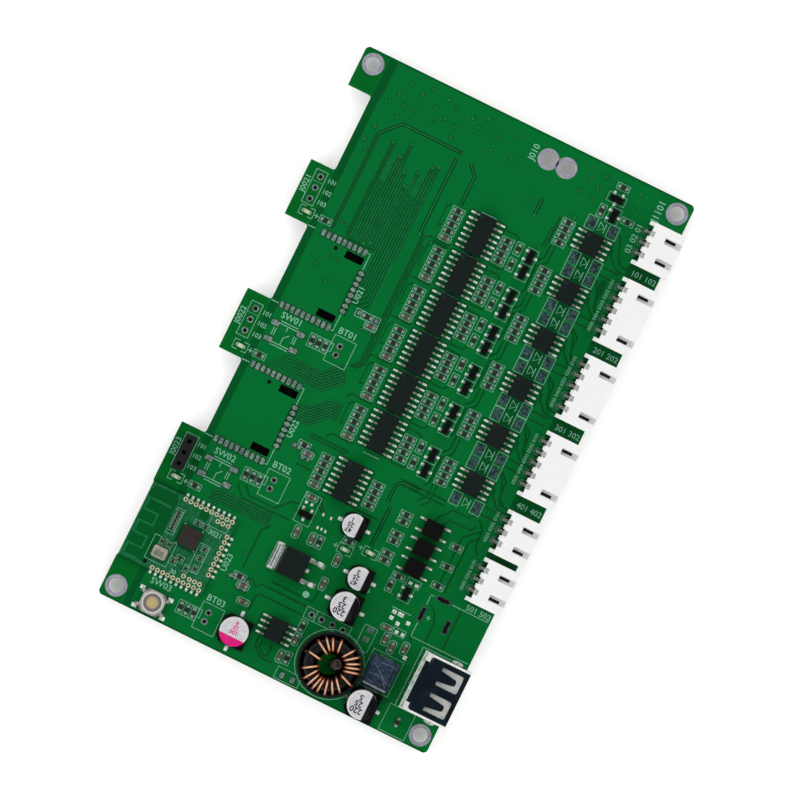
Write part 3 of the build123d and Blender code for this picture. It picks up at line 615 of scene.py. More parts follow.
def ring(name: str, centre: Sequence[float], outer: float, inner: float, height: float,
         sides: int = 40) -> bpy.types.Object:
    """A flat ring standing on a point: a circle grown outwards and lifted.

    Args:
        name: The piece's name.
        centre: The middle of its foot in millimetres.
        outer: Its outer radius.
        inner: Its inner radius.
        height: Its height.
        sides: The number of faces round it.

    Returns:
        The ring.
    """
    clear_selection()
    place = [c * MM for c in centre]
    bpy.ops.mesh.primitive_circle_add(vertices=sides, radius=inner * MM, location=place)
    edit_all()
    bpy.ops.mesh.extrude_edges_move()
    grow = outer / inner
    bpy.ops.transform.resize(value=(grow, grow, 1), center_override=place)
    bpy.ops.mesh.select_all(action="SELECT")
    bpy.ops.mesh.extrude_region_move(TRANSFORM_OT_translate={"value": (0, 0, height * MM)})
    bpy.ops.mesh.select_all(action="SELECT")
    bpy.ops.mesh.normals_make_consistent(inside=False)
    bpy.ops.object.mode_set(mode="OBJECT")
    return settle(name)


def join(name: str, parts: Sequence[bpy.types.Object]) -> bpy.types.Object:
    """Joins pieces into one.

    Args:
        name: The joined piece's name.
        parts: The pieces.

    Returns:
        The joined piece.
    """
    clear_selection()
    for part in parts:
        part.select_set(True)
    bpy.context.view_layer.objects.active = parts[0]
    if len(parts) > 1:
        bpy.ops.object.join()
    piece = bpy.context.object
    piece.name = name
    piece.data.name = name
    return piece


def at(x: float, y: float, z: float = 0.0, turn: float = 0.0,
       scale: Sequence[float] = (1, 1, 1)) -> Matrix:
    """A place in millimetres, turned about Z by degrees and scaled along the piece's own axes."""
    move = Matrix.Translation((x * MM, y * MM, z * MM))
    return move @ Matrix.Rotation(math.radians(turn), 4, "Z") @ Matrix.Diagonal((*scale, 1))


def stamp(name: str, source: bpy.types.Object, places: Sequence[Matrix]) -> bpy.types.Object:
    """Copies a modelled piece to many places and joins the copies.

    Args:
        name: The joined piece's name.
        source: The piece, modelled round the origin. It is used up.
        places: Where the copies go.

    Returns:
        The joined piece.
    """
    twins = []
    for place in places:
        twin = link(name, source.data.copy())
        twin.data.transform(place)
        twins.append(twin)
    bpy.data.objects.remove(source)
    return join(name, twins)


def dress(piece: bpy.types.Object, finish: Finish, body: str = "board") -> None:
    """Gives a new piece its finish and the body that it rides on.

    Args:
        piece: The piece.
        finish: Its finish.
        body: The moving body, or the board.
    """
    piece.data.materials.clear()
    piece.data.materials.append(finish.material())
    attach(piece, body)
    LOG.info("%s: %d faces", piece.name, len(piece.data.polygons))


def repaint(finishes: dict[str, Finish]) -> None:
    """Gives CAD nodes their finishes.

    Args:
        finishes: The finish of each node, by the node's name.
    """
    for node, finish in finishes.items():
        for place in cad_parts[node].material_slots:
            place.material = finish.material()


@dataclass(frozen=True)
class Solid:
    """The box round one solid or one node, in millimetres."""

    low: Sequence[float]
    high: Sequence[float]

    @property
    def size(self) -> list[float]:
        """Its width, depth and height."""
        return [b - a for a, b in zip(self.low, self.high)]

    @property
    def middle(self) -> Point:
        """Its middle in plan."""
        return (self.low[0] + self.high[0]) / 2, (self.low[1] + self.high[1]) / 2

    @property
    def flat(self) -> bool:
        """Whether it is longer along X than along Y."""
        return self.size[0] > self.size[1]

    def grown(self, across: float, along: float) -> Box:
        """Its left, bottom, right and top, moved outwards."""
        return self.low[0] - across, self.low[1] - along, self.high[0] + across, self.high[1] + along


def box_of(node: str) -> Solid:
    """The box round a whole CAD node."""
    return Solid(*([c / MM for c in corner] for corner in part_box(node)))


def solids_of(node: str) -> list[Solid]:
    """Measures each separate solid of a CAD node on a copy.

    Args:
        node: The node's name.

    Returns:
        The boxes of the solids, from top to bottom of the board.
    """
    activate(link("measured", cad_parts[node].data.copy()))
    edit_all()
    bpy.ops.mesh.remove_doubles(threshold=1e-6)
    bpy.ops.mesh.separate(type="LOOSE")
    bpy.ops.object.mode_set(mode="OBJECT")
    solids = []
    for part in list(bpy.context.selected_objects):
        points = [v.co / MM for v in part.data.vertices]
        solids.append(Solid([min(p[i] for p in points) for i in range(3)],
                            [max(p[i] for p in points) for i in range(3)]))
        bpy.data.objects.remove(part)
    return sorted(solids, key=lambda solid: (-round(solid.low[1], 2), round(solid.low[0], 2)))


FACE = box_of("circuit_board").high[2]
MODULE_FACE = box_of("radio_board").high[2]
TEXT_SIZE = 1.35


def ribbons(name: str, lines: Sequence[Sequence[Point]], width: float, layer: Layer,
            base: float = FACE, loop: bool = False, rise: float = 0.012) -> bpy.types.Object:
    """Thin raised strips that follow lines, such as tracks and print.

    Args:
        name: The piece's name.
        lines: Points of each strip, in millimetres.
        width: The strips' width.
        layer: The layer that they lie in.
        base: The height of the face that carries them.
        loop: Whether each line closes on itself.
        rise: How far the strips' middle stands over their edges.

    Returns:
        The joined strips.
    """
    route = bpy.data.curves.new(name, "CURVE")
    route.dimensions = "3D"
    route.bevel_depth = width / 2 * MM
    route.bevel_resolution = 0
    route.use_fill_caps = True
    for line in lines:
        spline = route.splines.new("POLY")
        spline.points.add(len(line) - 1)
        for point, (x, y) in zip(spline.points, line):
            point.co = (x * MM, y * MM, 0, 1)
        spline.use_cyclic_u = loop
    activate(link(name, route))
    bpy.ops.object.convert(target="MESH")
    piece = bpy.context.object
    piece.scale = (1, 1, rise / (width / 2))
    piece.location = (0, 0, (base + layer.value) * MM)
    return settle(name)


def plates(name: str, boxes: Sequence[Box], layer: Layer, base: float = FACE,
           thick: float = 0.02, turn: float = 0.0) -> bpy.types.Object:
    """Thin rectangles with softened rims.

    Args:
        name: The piece's name.
        boxes: Middle, width and height of each, in millimetres.
        layer: The layer that they lie in.
        base: The height of the face that carries them.
        thick: Their thickness.
        turn: Their turn in degrees.

    Returns:
        The joined rectangles.
    """
    source = block("plate", (-0.5, -0.5, 0), (0.5, 0.5, 1), 0.08, 1)
    places = [at(x, y, base + layer.value - 0.01, turn, (w, h, thick)) for x, y, w, h in boxes]
    return stamp(name, source, places)


def frames(boxes: Iterable[Box]) -> list[list[Point]]:
    """Closed outlines of rectangles given by left, bottom, right and top."""
    return [[(l, b), (r, b), (r, t), (l, t)] for l, b, r, t in boxes]


def arc(centre: Point, radius: float, start: float, end: float, steps: int) -> list[Point]:
    """Points along an arc.

    Args:
        centre: Its centre in millimetres.
        radius: Its radius.
        start: Where it starts, in degrees.
        end: Where it ends.
        steps: The number of its straight pieces.

    Returns:
        The points, both ends with them.
    """
    angles = [math.radians(start + (end - start) * k / steps) for k in range(steps + 1)]
    return [(centre[0] + radius * math.cos(a), centre[1] + radius * math.sin(a)) for a in angles]


def rounded_frames(boxes: Iterable[Box], radius: float) -> list[list[Point]]:
    """Closed outlines of rectangles with rounded corners.

    Args:
        boxes: Left, bottom, right and top of each.
        radius: The corners' radius in millimetres.

    Returns:
        The points of each outline.
    """
    outlines = []
    for l, b, r, t in boxes:
        left, bottom, right, top = l + radius, b + radius, r - radius, t - radius
        corners = ((right, top, 0), (left, top, 90), (left, bottom, 180), (right, bottom, 270))
        outlines.append([point for x, y, start in corners
                         for point in arc((x, y), radius, start, start + 90, 3)])
    return outlines


def numbers(name: str, labels: Sequence[tuple[str, float, float, float, float]],
            base: float = FACE, layer: Layer = Layer.PRINT, thick: float = 0.01,
            bold: float = 0.012) -> bpy.types.Object:
    """Plain numbers and signs.

    Args:
        name: The piece's name.
        labels: Text, x, y, height in millimetres and turn in degrees of each.
        base: The height of the face that carries them.
        layer: The layer that they lie in.
        thick: Their thickness.
        bold: How far their outline is moved outwards, against their height.

    Returns:
        The joined numbers.
    """
    made = []
    for text, x, y, height, turn in labels:
        clear_selection()
        place = (x * MM, y * MM, (base + layer.value) * MM)
        bpy.ops.object.text_add(location=place, rotation=(0, 0, math.radians(turn)))
        letters = bpy.context.object.data
        letters.body = text
        letters.size = height * MM * TEXT_SIZE
        letters.extrude = thick / 2 * MM
        letters.offset = bold * height * MM
        letters.resolution_u = 2
        letters.align_x = "CENTER"
        letters.align_y = "CENTER"
        bpy.ops.object.convert(target="MESH")
        made.append(settle(name))
    return join(name, made)


class Sky:
    """Surroundings that are bright at the sides and dark overhead, as under a copy stand."""

    def build(self) -> None:
        """Wires the world."""
        world = bpy.data.worlds.new("surroundings")
        bpy.context.scene.world = world
        shade = Shader("surroundings", world)
        direction = shade.node("ShaderNodeTexCoord", {}, {}, "Generated")
        height = shade.node("ShaderNodeSeparateXYZ", {}, {0: direction}, 2)
        overhead = shade.node("ShaderNodeMapRange", {"interpolation_type": "SMOOTHSTEP"},
                              {"Value": height, "From Min": 0.6, "From Max": 0.92})
        bright = shade.mix(overhead, (1.2, 1.2, 1.2, 1), (0.08, 0.09, 0.10, 1))
        camera = shade.node("ShaderNodeLightPath", {}, {}, "Is Camera Ray")
        shown = shade.mix(camera, bright, (1, 1, 1, 1))
        shade.feed(world.node_tree.nodes["Background"].inputs["Color"], shown)


@dataclass
class Studio:
    """The floor, the lamps and the camera."""

    camera_height: float = 2.5
    span: float = 0.16845
    sensor: float = 36.0
    centre: Point = (0.67, 0.26)
    turn: float = 26.25
    floor_size: float = 6.0
    floor_glow: float = 0.42
    hole_shade: float = 0.2
    shade_radius: float = 2.4
    shade_places: tuple[Box, ...] = ((0.0, 0.0, 35.65, 61.15), (8.4, 59.5, 2.1, 0.0))
    lamp_azimuths: tuple[int, ...] = (20, 110, 200, 290)
    lamp_power: float = 0.34
    lamp_distance: float = 0.55
    lamp_size: float = 0.3

    def floor(self) -> None:
        """A white floor that keeps the shadow."""
        clear_selection()
        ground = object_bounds()[0][2]
        bpy.ops.mesh.primitive_plane_add(size=self.floor_size, location=(0, 0, ground - 0.02 * MM))
        plane = settle("floor")
        shade = Shader("white_floor")
        surface = shade.surface.inputs
        tone = shade.mix(shade.noise(60.0), (0.86, 0.86, 0.86, 1), (0.84, 0.84, 0.84, 1))
        shade.feed(surface["Base Color"], tone)
        surface["Roughness"].default_value = 0.9
        surface["Specular IOR Level"].default_value = 0.1
        surface["Emission Color"].default_value = (1, 1, 1, 1)
        camera = shade.node("ShaderNodeLightPath", {}, {}, "Is Camera Ray")
        glow = camera * (self.floor_glow - self.under_holes(shade) * self.hole_shade)
        shade.feed(surface["Emission Strength"], glow)
        plane.data.materials.append(shade.material)
        plane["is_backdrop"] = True

    def under_holes(self, shade: Shader) -> Wire:
        """Finds where the floor lies in shade under the round holes of the board.

        Args:
            shade: The floor's shader.

        Returns:
            1 in the shaded spots.
        """
        spots = []
        for across, along, apart, span in self.shade_places:
            x = abs(shade.axis(0) - across) - apart
            y = abs(shade.axis(1) - along) - span
            spots.append(x * x + y * y < self.shade_radius ** 2)
        return spots[0] + spots[1]

    def lamps(self) -> None:
        """Four soft lamps round the board."""
        for number, azimuth in enumerate(self.lamp_azimuths, 1):
            data = bpy.data.lights.new(f"lamp_{number}", "AREA")
            data.energy = self.lamp_power
            data.size = self.lamp_size
            lamp = link(f"lamp_{number}", data)
            way = Vector((math.cos(math.radians(azimuth)), math.sin(math.radians(azimuth)), 0.8))
            lamp.location = way.normalized() * self.lamp_distance
            lamp.rotation_euler = way.to_track_quat("Z", "Y").to_euler()

    def camera(self) -> None:
        """The camera, straight above and turned as the photograph is."""
        data = bpy.data.cameras.new("camera")
        data.sensor_width = self.sensor
        data.lens = self.sensor * self.camera_height / self.span
        data.clip_end = 20
        camera = link("camera", data)
        camera.location = (self.centre[0] * MM, self.centre[1] * MM, self.camera_height)
        camera.rotation_euler = (0, 0, math.radians(self.turn))
        bpy.context.scene.camera = camera

    def build(self) -> None:
        """Sets the studio up."""
        bpy.context.scene.view_settings.view_transform = "Standard"
        Sky().build()
        self.floor()
        self.lamps()
        self.camera()


def mound(name: str, width: float, depth: float, height: float, narrow: float = 0.55,
          shift: float = 0.0) -> bpy.types.Object:
    """A low heap of solder: a block whose top is drawn in and moved along X.

    Args:
        name: The piece's name.
        width: Its size along X in millimetres.
        depth: Its size along Y.
        height: Its height.
        narrow: The top's size against the foot's.
        shift: How far the top moves along X.

    Returns:
        The piece, standing on the origin.
    """
    piece = block(name, (-width / 2, -depth / 2, 0), (width / 2, depth / 2, height))
    activate(piece)
    points = piece.data.vertices
    for point in points:
        point.select = point.co.z > height / 2 * MM
    for part in (*piece.data.edges, *piece.data.polygons):
        part.select = all(points[i].select for i in part.vertices)
    bpy.ops.object.mode_set(mode="EDIT")
    bpy.ops.transform.resize(value=(narrow, narrow, 1), center_override=(0, 0, 0))
    bpy.ops.transform.translate(value=(shift * MM, 0, 0))
    bpy.ops.object.mode_set(mode="OBJECT")
    soften(piece, min(width, depth, height) * 0.25, 1)
    smooth(piece, 60)
    return piece


@dataclass
class BoardSurface:
    """The bare board: copper areas, tracks, vias, holes and pads."""

    hole_middle: Point = (35.65, 61.15)
    hole_ring: Point = (2.36, 1.58)
    cable_holes: tuple[Point, ...] = ((6.3, 59.5), (10.5, 59.5))
    cable_ring: Point = (2.3, 1.58)
    ring_heights: tuple[float, float] = (FACE - 0.01, -0.05)
    runs: tuple[Point, ...] = ((-24.5, 48.4), (-22.0, 46.3), (-20.9, 49.7), (-19.7, 43.7),
                               (-18.4, 41.1), (-17.0, 44.8), (-14.8, 47.1), (-13.7, 47.8))
    bay_rows: tuple[float, ...] = (24.8, 7.3, -6.6, -24.1)
    bay_sides: tuple[float, float] = (20.5, -11.0)
    vias: tuple[Point, ...] = (
        (-26.5, 61.1), (-22, 62), (-17.9, 61.6), (-15.7, 60.6), (-23.4, 60), (-19.7, 58.9),
        (-27.9, 58), (-16.9, 57.6), (-29.1, 55.7), (-25.9, 56.2), (-23.4, 56.3), (-18.7, 56.2),
        (-14.5, 56.8), (-26.3, 53.4), (-14.3, 54.6), (-29.6, 49.6), (-30.3, 46.2), (-29.4, 44.4),
        (-24.5, 48.4), (-20.9, 49.7), (-22, 46.3), (-17, 44.8), (-19.7, 43.7), (-18.4, 41.1),
        (-14.8, 47.1), (-13.7, 47.8), (-11.7, 60.3), (-8.7, 61.6), (-9.8, 58.9), (-5.6, 58.9),
        (-1.7, 60.9), (-5.6, 55.8), (-0.9, 56.2), (8.8, 47.5), (19, 61.5), (16, 60.1), (18.2, 58.8),
        (14.9, 56.5), (18.1, 56), (27, 61.5), (27, 57.9), (30.9, 59.3), (16.7, 50.9),
        (-26.9, 28.4), (-25.8, 28.4), (-20.8, 26.4), (-19.6, 27.2), (-26.1, 20.8), (-24.3, 20.8),
        (-28, 18.3), (-24.4, 15.7), (-11.1, 33.4), (-8.3, 32.8), (6.5, 33.5), (6.3, 32.0),
        (-13.3, 9.9), (-11.1, 10.0), (-14.2, -43.0), (22.2, -32.3), (17.3, -37.1), (15.4, -41.5))

    def rings(self) -> None:
        """The plated rings of the corner holes and of the cable holes."""
        x, y = self.hole_middle
        corners = [(sx * x, sy * y) for sx in (-1, 1) for sy in (-1, 1)]
        for name, (outer, inner), holes in (("corner_rings", self.hole_ring, corners),
                                            ("earth_rings", self.cable_ring, self.cable_holes)):
            source = ring("hole_ring", (0, 0, 0), outer, inner, 0.06, 48)
            places = [at(*hole, z) for hole in holes for z in self.ring_heights]
            dress(stamp(name, source, places), TINNED)

    def via_rings(self) -> None:
        """The small tented vias."""
        source = ring("via", (0, 0, 0), 0.36, 0.15, 0.03, 12)
        dress(stamp("via_rings", source, [at(*via, FACE + 0.006) for via in self.vias]), LIT)
        source = drum("via_halo", (0, 0, 0), 0.5, 0.012, sides=14)
        dress(stamp("via_halos", source, [at(*via, FACE + 0.006) for via in self.vias]), DEEP)

    def gaps(self) -> None:
        """The areas without copper, which show darker through the mask, and dark strips along the bays' edges."""
        darker = [(-32.15, 0, 1.7, 128.0), (34.85, 11.2, 7.0, 86.0), (-19.3, 32.8, 11.6, 14.2),
                  (-15.8, 19.8, 4.4, 11.8), (0, 63.95, 76.0, 0.35), (0, -63.95, 76.0, 0.35)]
        darker += [(22.75, 41.85 - 11.24 * i, 2.9, 5.8) for i in range(5)]
        dress(plates("bare_glass_areas", darker, Layer.POUR, thick=0.014), GAP)
        tabs = [(-35.8, y, 5.2, h) for y, h in ((31.15, 12.6), (0.35, 13.8), (-30.85, 13.4))]
        for side in (-1, 1):
            tabs += [(-35.8, side * 57.25, 5.2, 4.1), (-35.8, side * 63.3, 5.2, 0.9),
                     (-37.95, side * 61.1, 0.6, 3.6), (-33.4, side * 61.1, 0.6, 3.6)]
        dress(plates("tab_areas", tabs, Layer.POUR, thick=0.012), TAB)
        # Dark strips inside the board's thickness along the edges of the two bays under the module.
        bays = [(-35.7, y, 5.3, 0.3) for y in (-37.78, -55.02)]
        dress(plates("bay_edges", bays, Layer.POUR, base=FACE - 0.5, thick=0.4), DEEP)

    def channels(self) -> None:
        """The wide clearances that end at vias, and the double lines along single tracks."""
        wide = [[(x, 26.0), (x, y)] for x, y in self.runs]
        wide.append([(-28.2, 26.2), (-28.2, 48.6)])
        dress(ribbons("wide_channels", wide, 0.9, Layer.POUR), GAP)
        doubles = [[(-28.2, 48.6), (-24.5, 52.6), (-10.4, 52.6)], [(-11.1, 33.4), (-11.1, 51.2)],
                   [(-6.0, 42.6), (-6.0, 49.3), (-8.0, 51.5)], [(8.8, 51.6), (8.8, 47.3)],
                   [(13.5, 42.5), (13.5, 46.6), (15.0, 48.0)],
                   [(8.8, -20.8), (8.8, -30.2)], [(13.0, -15.1), (8.9, -15.1), (7.8, -16.2), (7.8, -20.2)],
                   [(-4.9, -25.2), (-4.9, -26.6), (-3.4, -28.2)]]
        dress(ribbons("double_lines", doubles, 0.8, Layer.POUR, rise=0.014), DEEP)
        dress(ribbons("double_tracks", doubles, 0.34, Layer.TRACK), TRACK)

    def clearances(self) -> None:
        """The narrow dark lines between areas of copper."""
        thin: list[list[Point]] = []
        for i in range(6):
            y = 47.4 - 11.24 * i
            thin += [[(26.6, y + 4.6), (27.5, y + 3.2), (28.8, y - 0.4), (30.2, y - 1.5), (31.8, y - 1.5)],
                     [(26.9, y + 1.0), (27.1, y - 0.5), (29.1, y - 2.5), (31.5, y - 2.8)],
                     [(26.6, y - 3.2), (30.4, y - 3.2)], [(26.6, y - 5.0), (30.4, y - 5.0)],
                     [(26.7, y - 6.2), (28.3, y - 7.8), (28.5, y - 11.6), (29.6, y - 13.0)],
                     [(13.9, y + 2.4), (13.9, y - 3.8), (12.9, y - 5.0)],
                     [(15.7, y - 3.7), (15.7, y - 7.4), (14.2, y - 9.0)],
                     [(14.7, y - 3.7), (14.7, y - 6.8), (13.4, y - 8.2)]]
            y = 38.8 - 9.29 * i
            thin += [[(-4.2, y - 4.75), (-9.0, y - 4.75), (-9.9, y - 5.6)],
                     [(4.6, y - 4.6), (7.6, y - 4.6), (8.4, y - 3.8)],
                     [(-7.9, y - 1.4), (-8.6, y - 2.1), (-8.6, y + 2.6), (-7.8, y + 3.4)],
                     [(4.8, y + 3.4), (7.6, y + 3.4), (8.4, y + 2.6)]]
        for x, top in ((-10.4, 34.0), (-9.9, 33.0), (-9.3, 31.6)):
            thin.append([(x, top), (x, 3.6), (x - 1.6, 2.0)])
        thin += [[(25.5, -35.5), (27.0, -36.6), (27.9, -39.0), (27.9, -43.2)], [(31.9, -33.8), (31.9, -43.0)],
                 [(26.6, -13.6), (24.6, -15.6), (21.0, -15.6), (18.7, -18.4), (18.7, -19.3)],
                 [(27.0, -16.6), (26.0, -17.8), (21.4, -17.8), (20.4, -19.2)],
                 [(28.2, -17.0), (25.2, -20.0), (25.2, -31.6)], [(28.5, -18.6), (26.9, -20.2), (26.9, -32.2)],
                 [(8.2, -14.5), (19.0, -14.5)], [(9.0, -15.6), (19.0, -15.6)],
                 [(-13.0, -14.3), (-4.2, -14.3)], [(-13.0, -15.0), (-4.4, -15.0)],
                 [(-13.0, -21.3), (-9.6, -21.3)], [(-13.0, -32.7), (-9.0, -32.7)],
                 [(-13.0, -31.9), (-10.4, -29.1), (-8.8, -28.7)], [(-2.6, -24.4), (7.6, -24.4)],
                 [(-21.9, -30.3), (-21.9, -31.0), (-20.0, -32.8), (-13.0, -32.8)],
                 [(-20.5, -30.2), (-18.9, -31.8), (-13.0, -31.8)], [(-24.0, -35.6), (-13.0, -35.6)],
                 [(-26.4, -36.0), (-24.6, -34.4), (-13.0, -34.4)],
                 [(-13.4, -46.0), (-13.4, -37.0), (-12.0, -35.6)],
                 [(-12.6, -47.4), (-10.2, -47.4), (-9.3, -48.4), (-8.3, -47.4), (2.4, -47.4)],
                 [(2.4, -49.4), (-7.6, -49.4), (-8.4, -50.2), (-8.4, -53.6)],
                 [(-3.9, -57.4), (-3.9, -59.2), (-2.1, -61.3), (0.9, -61.3)],
                 [(-2.9, -58.0), (-2.9, -59.4), (-1.8, -60.6), (-0.6, -60.6), (-0.6, -58.0)],
                 [(-6.6, -46.0), (3.0, -46.0), (3.0, -42.4)], [(25.4, -44.4), (24.4, -43.2)],
                 [(23.1, -57.8), (27.8, -57.8)], [(-31.2, 63.6), (-31.2, 55.2)]]
        dress(ribbons("thin_channels", thin, 0.4, Layer.TRACK), GAP)
        dark = [(28.2, 40.0, 1.3, 3.6), (-6.3, 33.3, 3.4, 0.8)]
        dress(plates("dark_patches", dark, Layer.POUR), GAP)

    def bundles(self) -> None:
        """The bundles of fine tracks between the bays and the logic chips."""
        upright: list[list[Point]] = []
        for k in range(18):
            x = -23.9 + 0.61 * k
            near = min(self.runs, key=lambda run: abs(run[0] - x))
            top = min(near[1] - 1.2, 45.6)
            low = 26.2 if k < 10 else 19.8 - 0.72 * (k - 10)
            line = [(x, top), (x, low)]
            if k > 10:
                line.append((x - 1.2, low - 1.2))
            upright.append(line)
        bent: list[list[Point]] = []
        for k in range(7):
            y = -1.9 - 0.57 * k
            left = -24.6 + 0.75 * k
            bent.append([(left - (5.3 + y), -5.3), (left, y), (-16.7 + 0.27 * k, y), (-12.9 + 0.27 * k, y + 3.8)])
            y = -9.6 - 0.57 * k
            bent.append([(-17.7, y), (-15.8 + 0.2 * k, y), (-12.4 + 0.2 * k, y + 3.4), (-9.4, y + 3.4)])
        for k in range(5):
            y = -33.4 - 0.6 * k
            bent.append([(-26.4 + 0.3 * k, y - 1.2), (-25.2 + 0.3 * k, y), (-12.6, y)])
        dress(ribbons("bundle_edges", bent, 0.56, Layer.POUR), GAP)
        dress(ribbons("track_bundles", upright + bent, 0.26, Layer.TRACK), TRACK)

    def pads(self) -> None:
        """The bare pads of parts that aren't fitted."""
        # The bare diode pads are dark with a painted reflection.
        dull = [(x, y, 1.7, 2.3) for y in PrintWork.diode_rows for x in (20.3, 25.2)]
        dress(plates("pads_with_painted_reflection", dull, Layer.PAD), PAD_WITH_PAINTED_REFLECTION)
        dress(plates("green_pads", [(16.6, -46.0, 1.6, 1.2), (16.5, -48.1, 1.4, 1.2)], Layer.PAD), LAND)
        sides = [(-18.4, top - 1.27 * k) for top in self.bay_sides for k in range(8)]
        source = drum("rounded_pad", (0, 0, 0), 0.5, 0.05, sides=20)
        places = [at(x, y, FACE, 0, (1.3, 0.95, 1)) for x, y in sides]
        dress(stamp("side_pads", source, places), PALE)
        pale = [(-30.5 + 1.21 * k, y, 0.8, 1.45) for y in self.bay_rows for k in range(0 if y < 20 else 1, 10)]
        pale += [(x, y, 1.8, 1.15) for x in (-30.0, -24.15) for y in (3.3, -0.4, -28.4, -32.0)]
        pale += [(x, -62.7, 1.0, 1.3) for x in (4.0, 6.4)]
        corner = ((-15.1, 12.9), (-13.9, 12.9), (-12.4, 12.9), (-12.4, 11.4), (-11.1, 11.4), (-11.1, 12.9))
        pale += [(x, y + drop, 0.75, 0.9) for drop in (0, -30.9, -61.4) for x, y in corner]
        dress(plates("pale_pads", pale, Layer.PAD), PALE)
        around = [(x, y, w + 0.34, h + 0.34) for x, y, w, h in pale] + [(x, y, 1.7, 1.27) for x, y in sides]
        dress(plates("pad_clearances", around, Layer.TRACK), DEEP)
        wet = [(-3.1, -28.5, 0.45, 0.7), (-1.3, -28.5, 0.45, 0.7), (-3.0, -31.5, 0.45, 0.7),
               (-2.1, -31.4, 0.45, 0.7), (-1.2, -31.5, 0.45, 0.7), (-7.5, -27.7, 0.6, 0.7),
               (-6.2, -27.7, 0.6, 0.7), (19.7, -33.3, 0.8, 0.8), (21.1, -33.3, 0.8, 0.8),
               (19.3, -40.2, 1.0, 0.9), (20.8, -40.2, 1.4, 0.9), (19.3, -41.6, 0.9, 0.9),
               (21.0, -42.2, 0.9, 0.9), (23.0, -41.2, 0.9, 0.9), (21.6, -43.9, 0.8, 0.8),
               (23.0, -43.9, 0.8, 0.8), (25.6, -48.0, 0.9, 0.9)]
        source = mound("wet_pad", 1.0, 1.0, 0.16, 0.6)
        places = [at(x, y, FACE + 0.01, 0, (w, h, 1)) for x, y, w, h in wet]
        dress(stamp("wet_pads", source, places), SOLDER)

    def holes(self) -> None:
        """The slots, pin holes and jack slots with painted shade in them, and the dark spots."""
        slots = [(-21.2, y + d, 4.4, 2.0) for y in (16.05, -15.3) for d in (-6.75, 6.75)]
        # Painted shade: dark sheets inside the slots.
        dress(plates("painted_shade_in_slots", slots, Layer.POUR, base=0.1, thick=0.1), INK_AND_PAINTED_SHADE)
        source = drum("dark_spot", (0, 0, 0), 0.45, 0.02, sides=16)
        places = [at(-25.6, 23.0, FACE), at(-25.7, -8.5, FACE), at(-32.5, -53.8, MODULE_FACE)]
        dress(stamp("dark_spots", source, places), INK_AND_PAINTED_SHADE)
        pins = [(-35.1, y) for y in (35.0, 32.45, 29.9, 4.1, 1.55, -1.0)]
        pins += [(-15.65, y + d) for y in (3.75, -27.6, -58.75) for d in (-1.0, 1.0)]
        pins += [(x, -48.5) for x in (4.0, 6.3, 8.8, 11.3)]
        source = ring("pin_pad", (0, 0, 0), 0.72, 0.42, 0.05, 24)
        dress(stamp("pin_pads", source, [at(x, y, z) for x, y in pins for z in (FACE, -0.05)]), PALE)
        source = drum("pin_mouth", (0, 0, 0), 0.43, 0.03, sides=20)
        # Painted shade: dark discs in the open pin holes.
        dress(stamp("pin_mouths", source, [at(x, y, FACE) for x, y in pins]), INK_AND_PAINTED_SHADE)
        # The jack mouths are painted shade, dark in the plated slots.
        jack = (((27.5, -33.55), 0), ((24.7, -38.1), 90), ((30.6, -38.4), 90))
        # The jack pads are dark with a painted reflection.
        for name, half, radius, finish, layer in (("jack_pads", 1.1, 0.62, PAD_WITH_PAINTED_REFLECTION, Layer.TRACK),
                                                  ("jack_mouths", 1.05, 0.34, INK_AND_PAINTED_SHADE, Layer.PRINT)):
            pieces = []
            for (x, y), turn in jack:
                way = Vector((math.cos(math.radians(turn)), math.sin(math.radians(turn)))) * half
                line = [(x - way.x, y - way.y), (x + way.x, y + way.y)]
                pieces.append(ribbons(name, [line], 2 * radius, layer))
                pieces += [drum(name, (px, py, FACE + layer.value - 0.01), radius, 0.02, sides=20)
                           for px, py in line]
            dress(join(name, pieces), finish)
        dress(drum("fiducial", (1.0, -45.2, FACE), 0.72, 0.04, sides=32), PRINT)

    def build(self) -> None:
        """Dresses the bare board."""
        repaint({"circuit_board": MASK})
        self.rings()
        self.via_rings()
        self.gaps()
        self.channels()
        self.clearances()
        self.bundles()
        self.pads()
        self.holes()


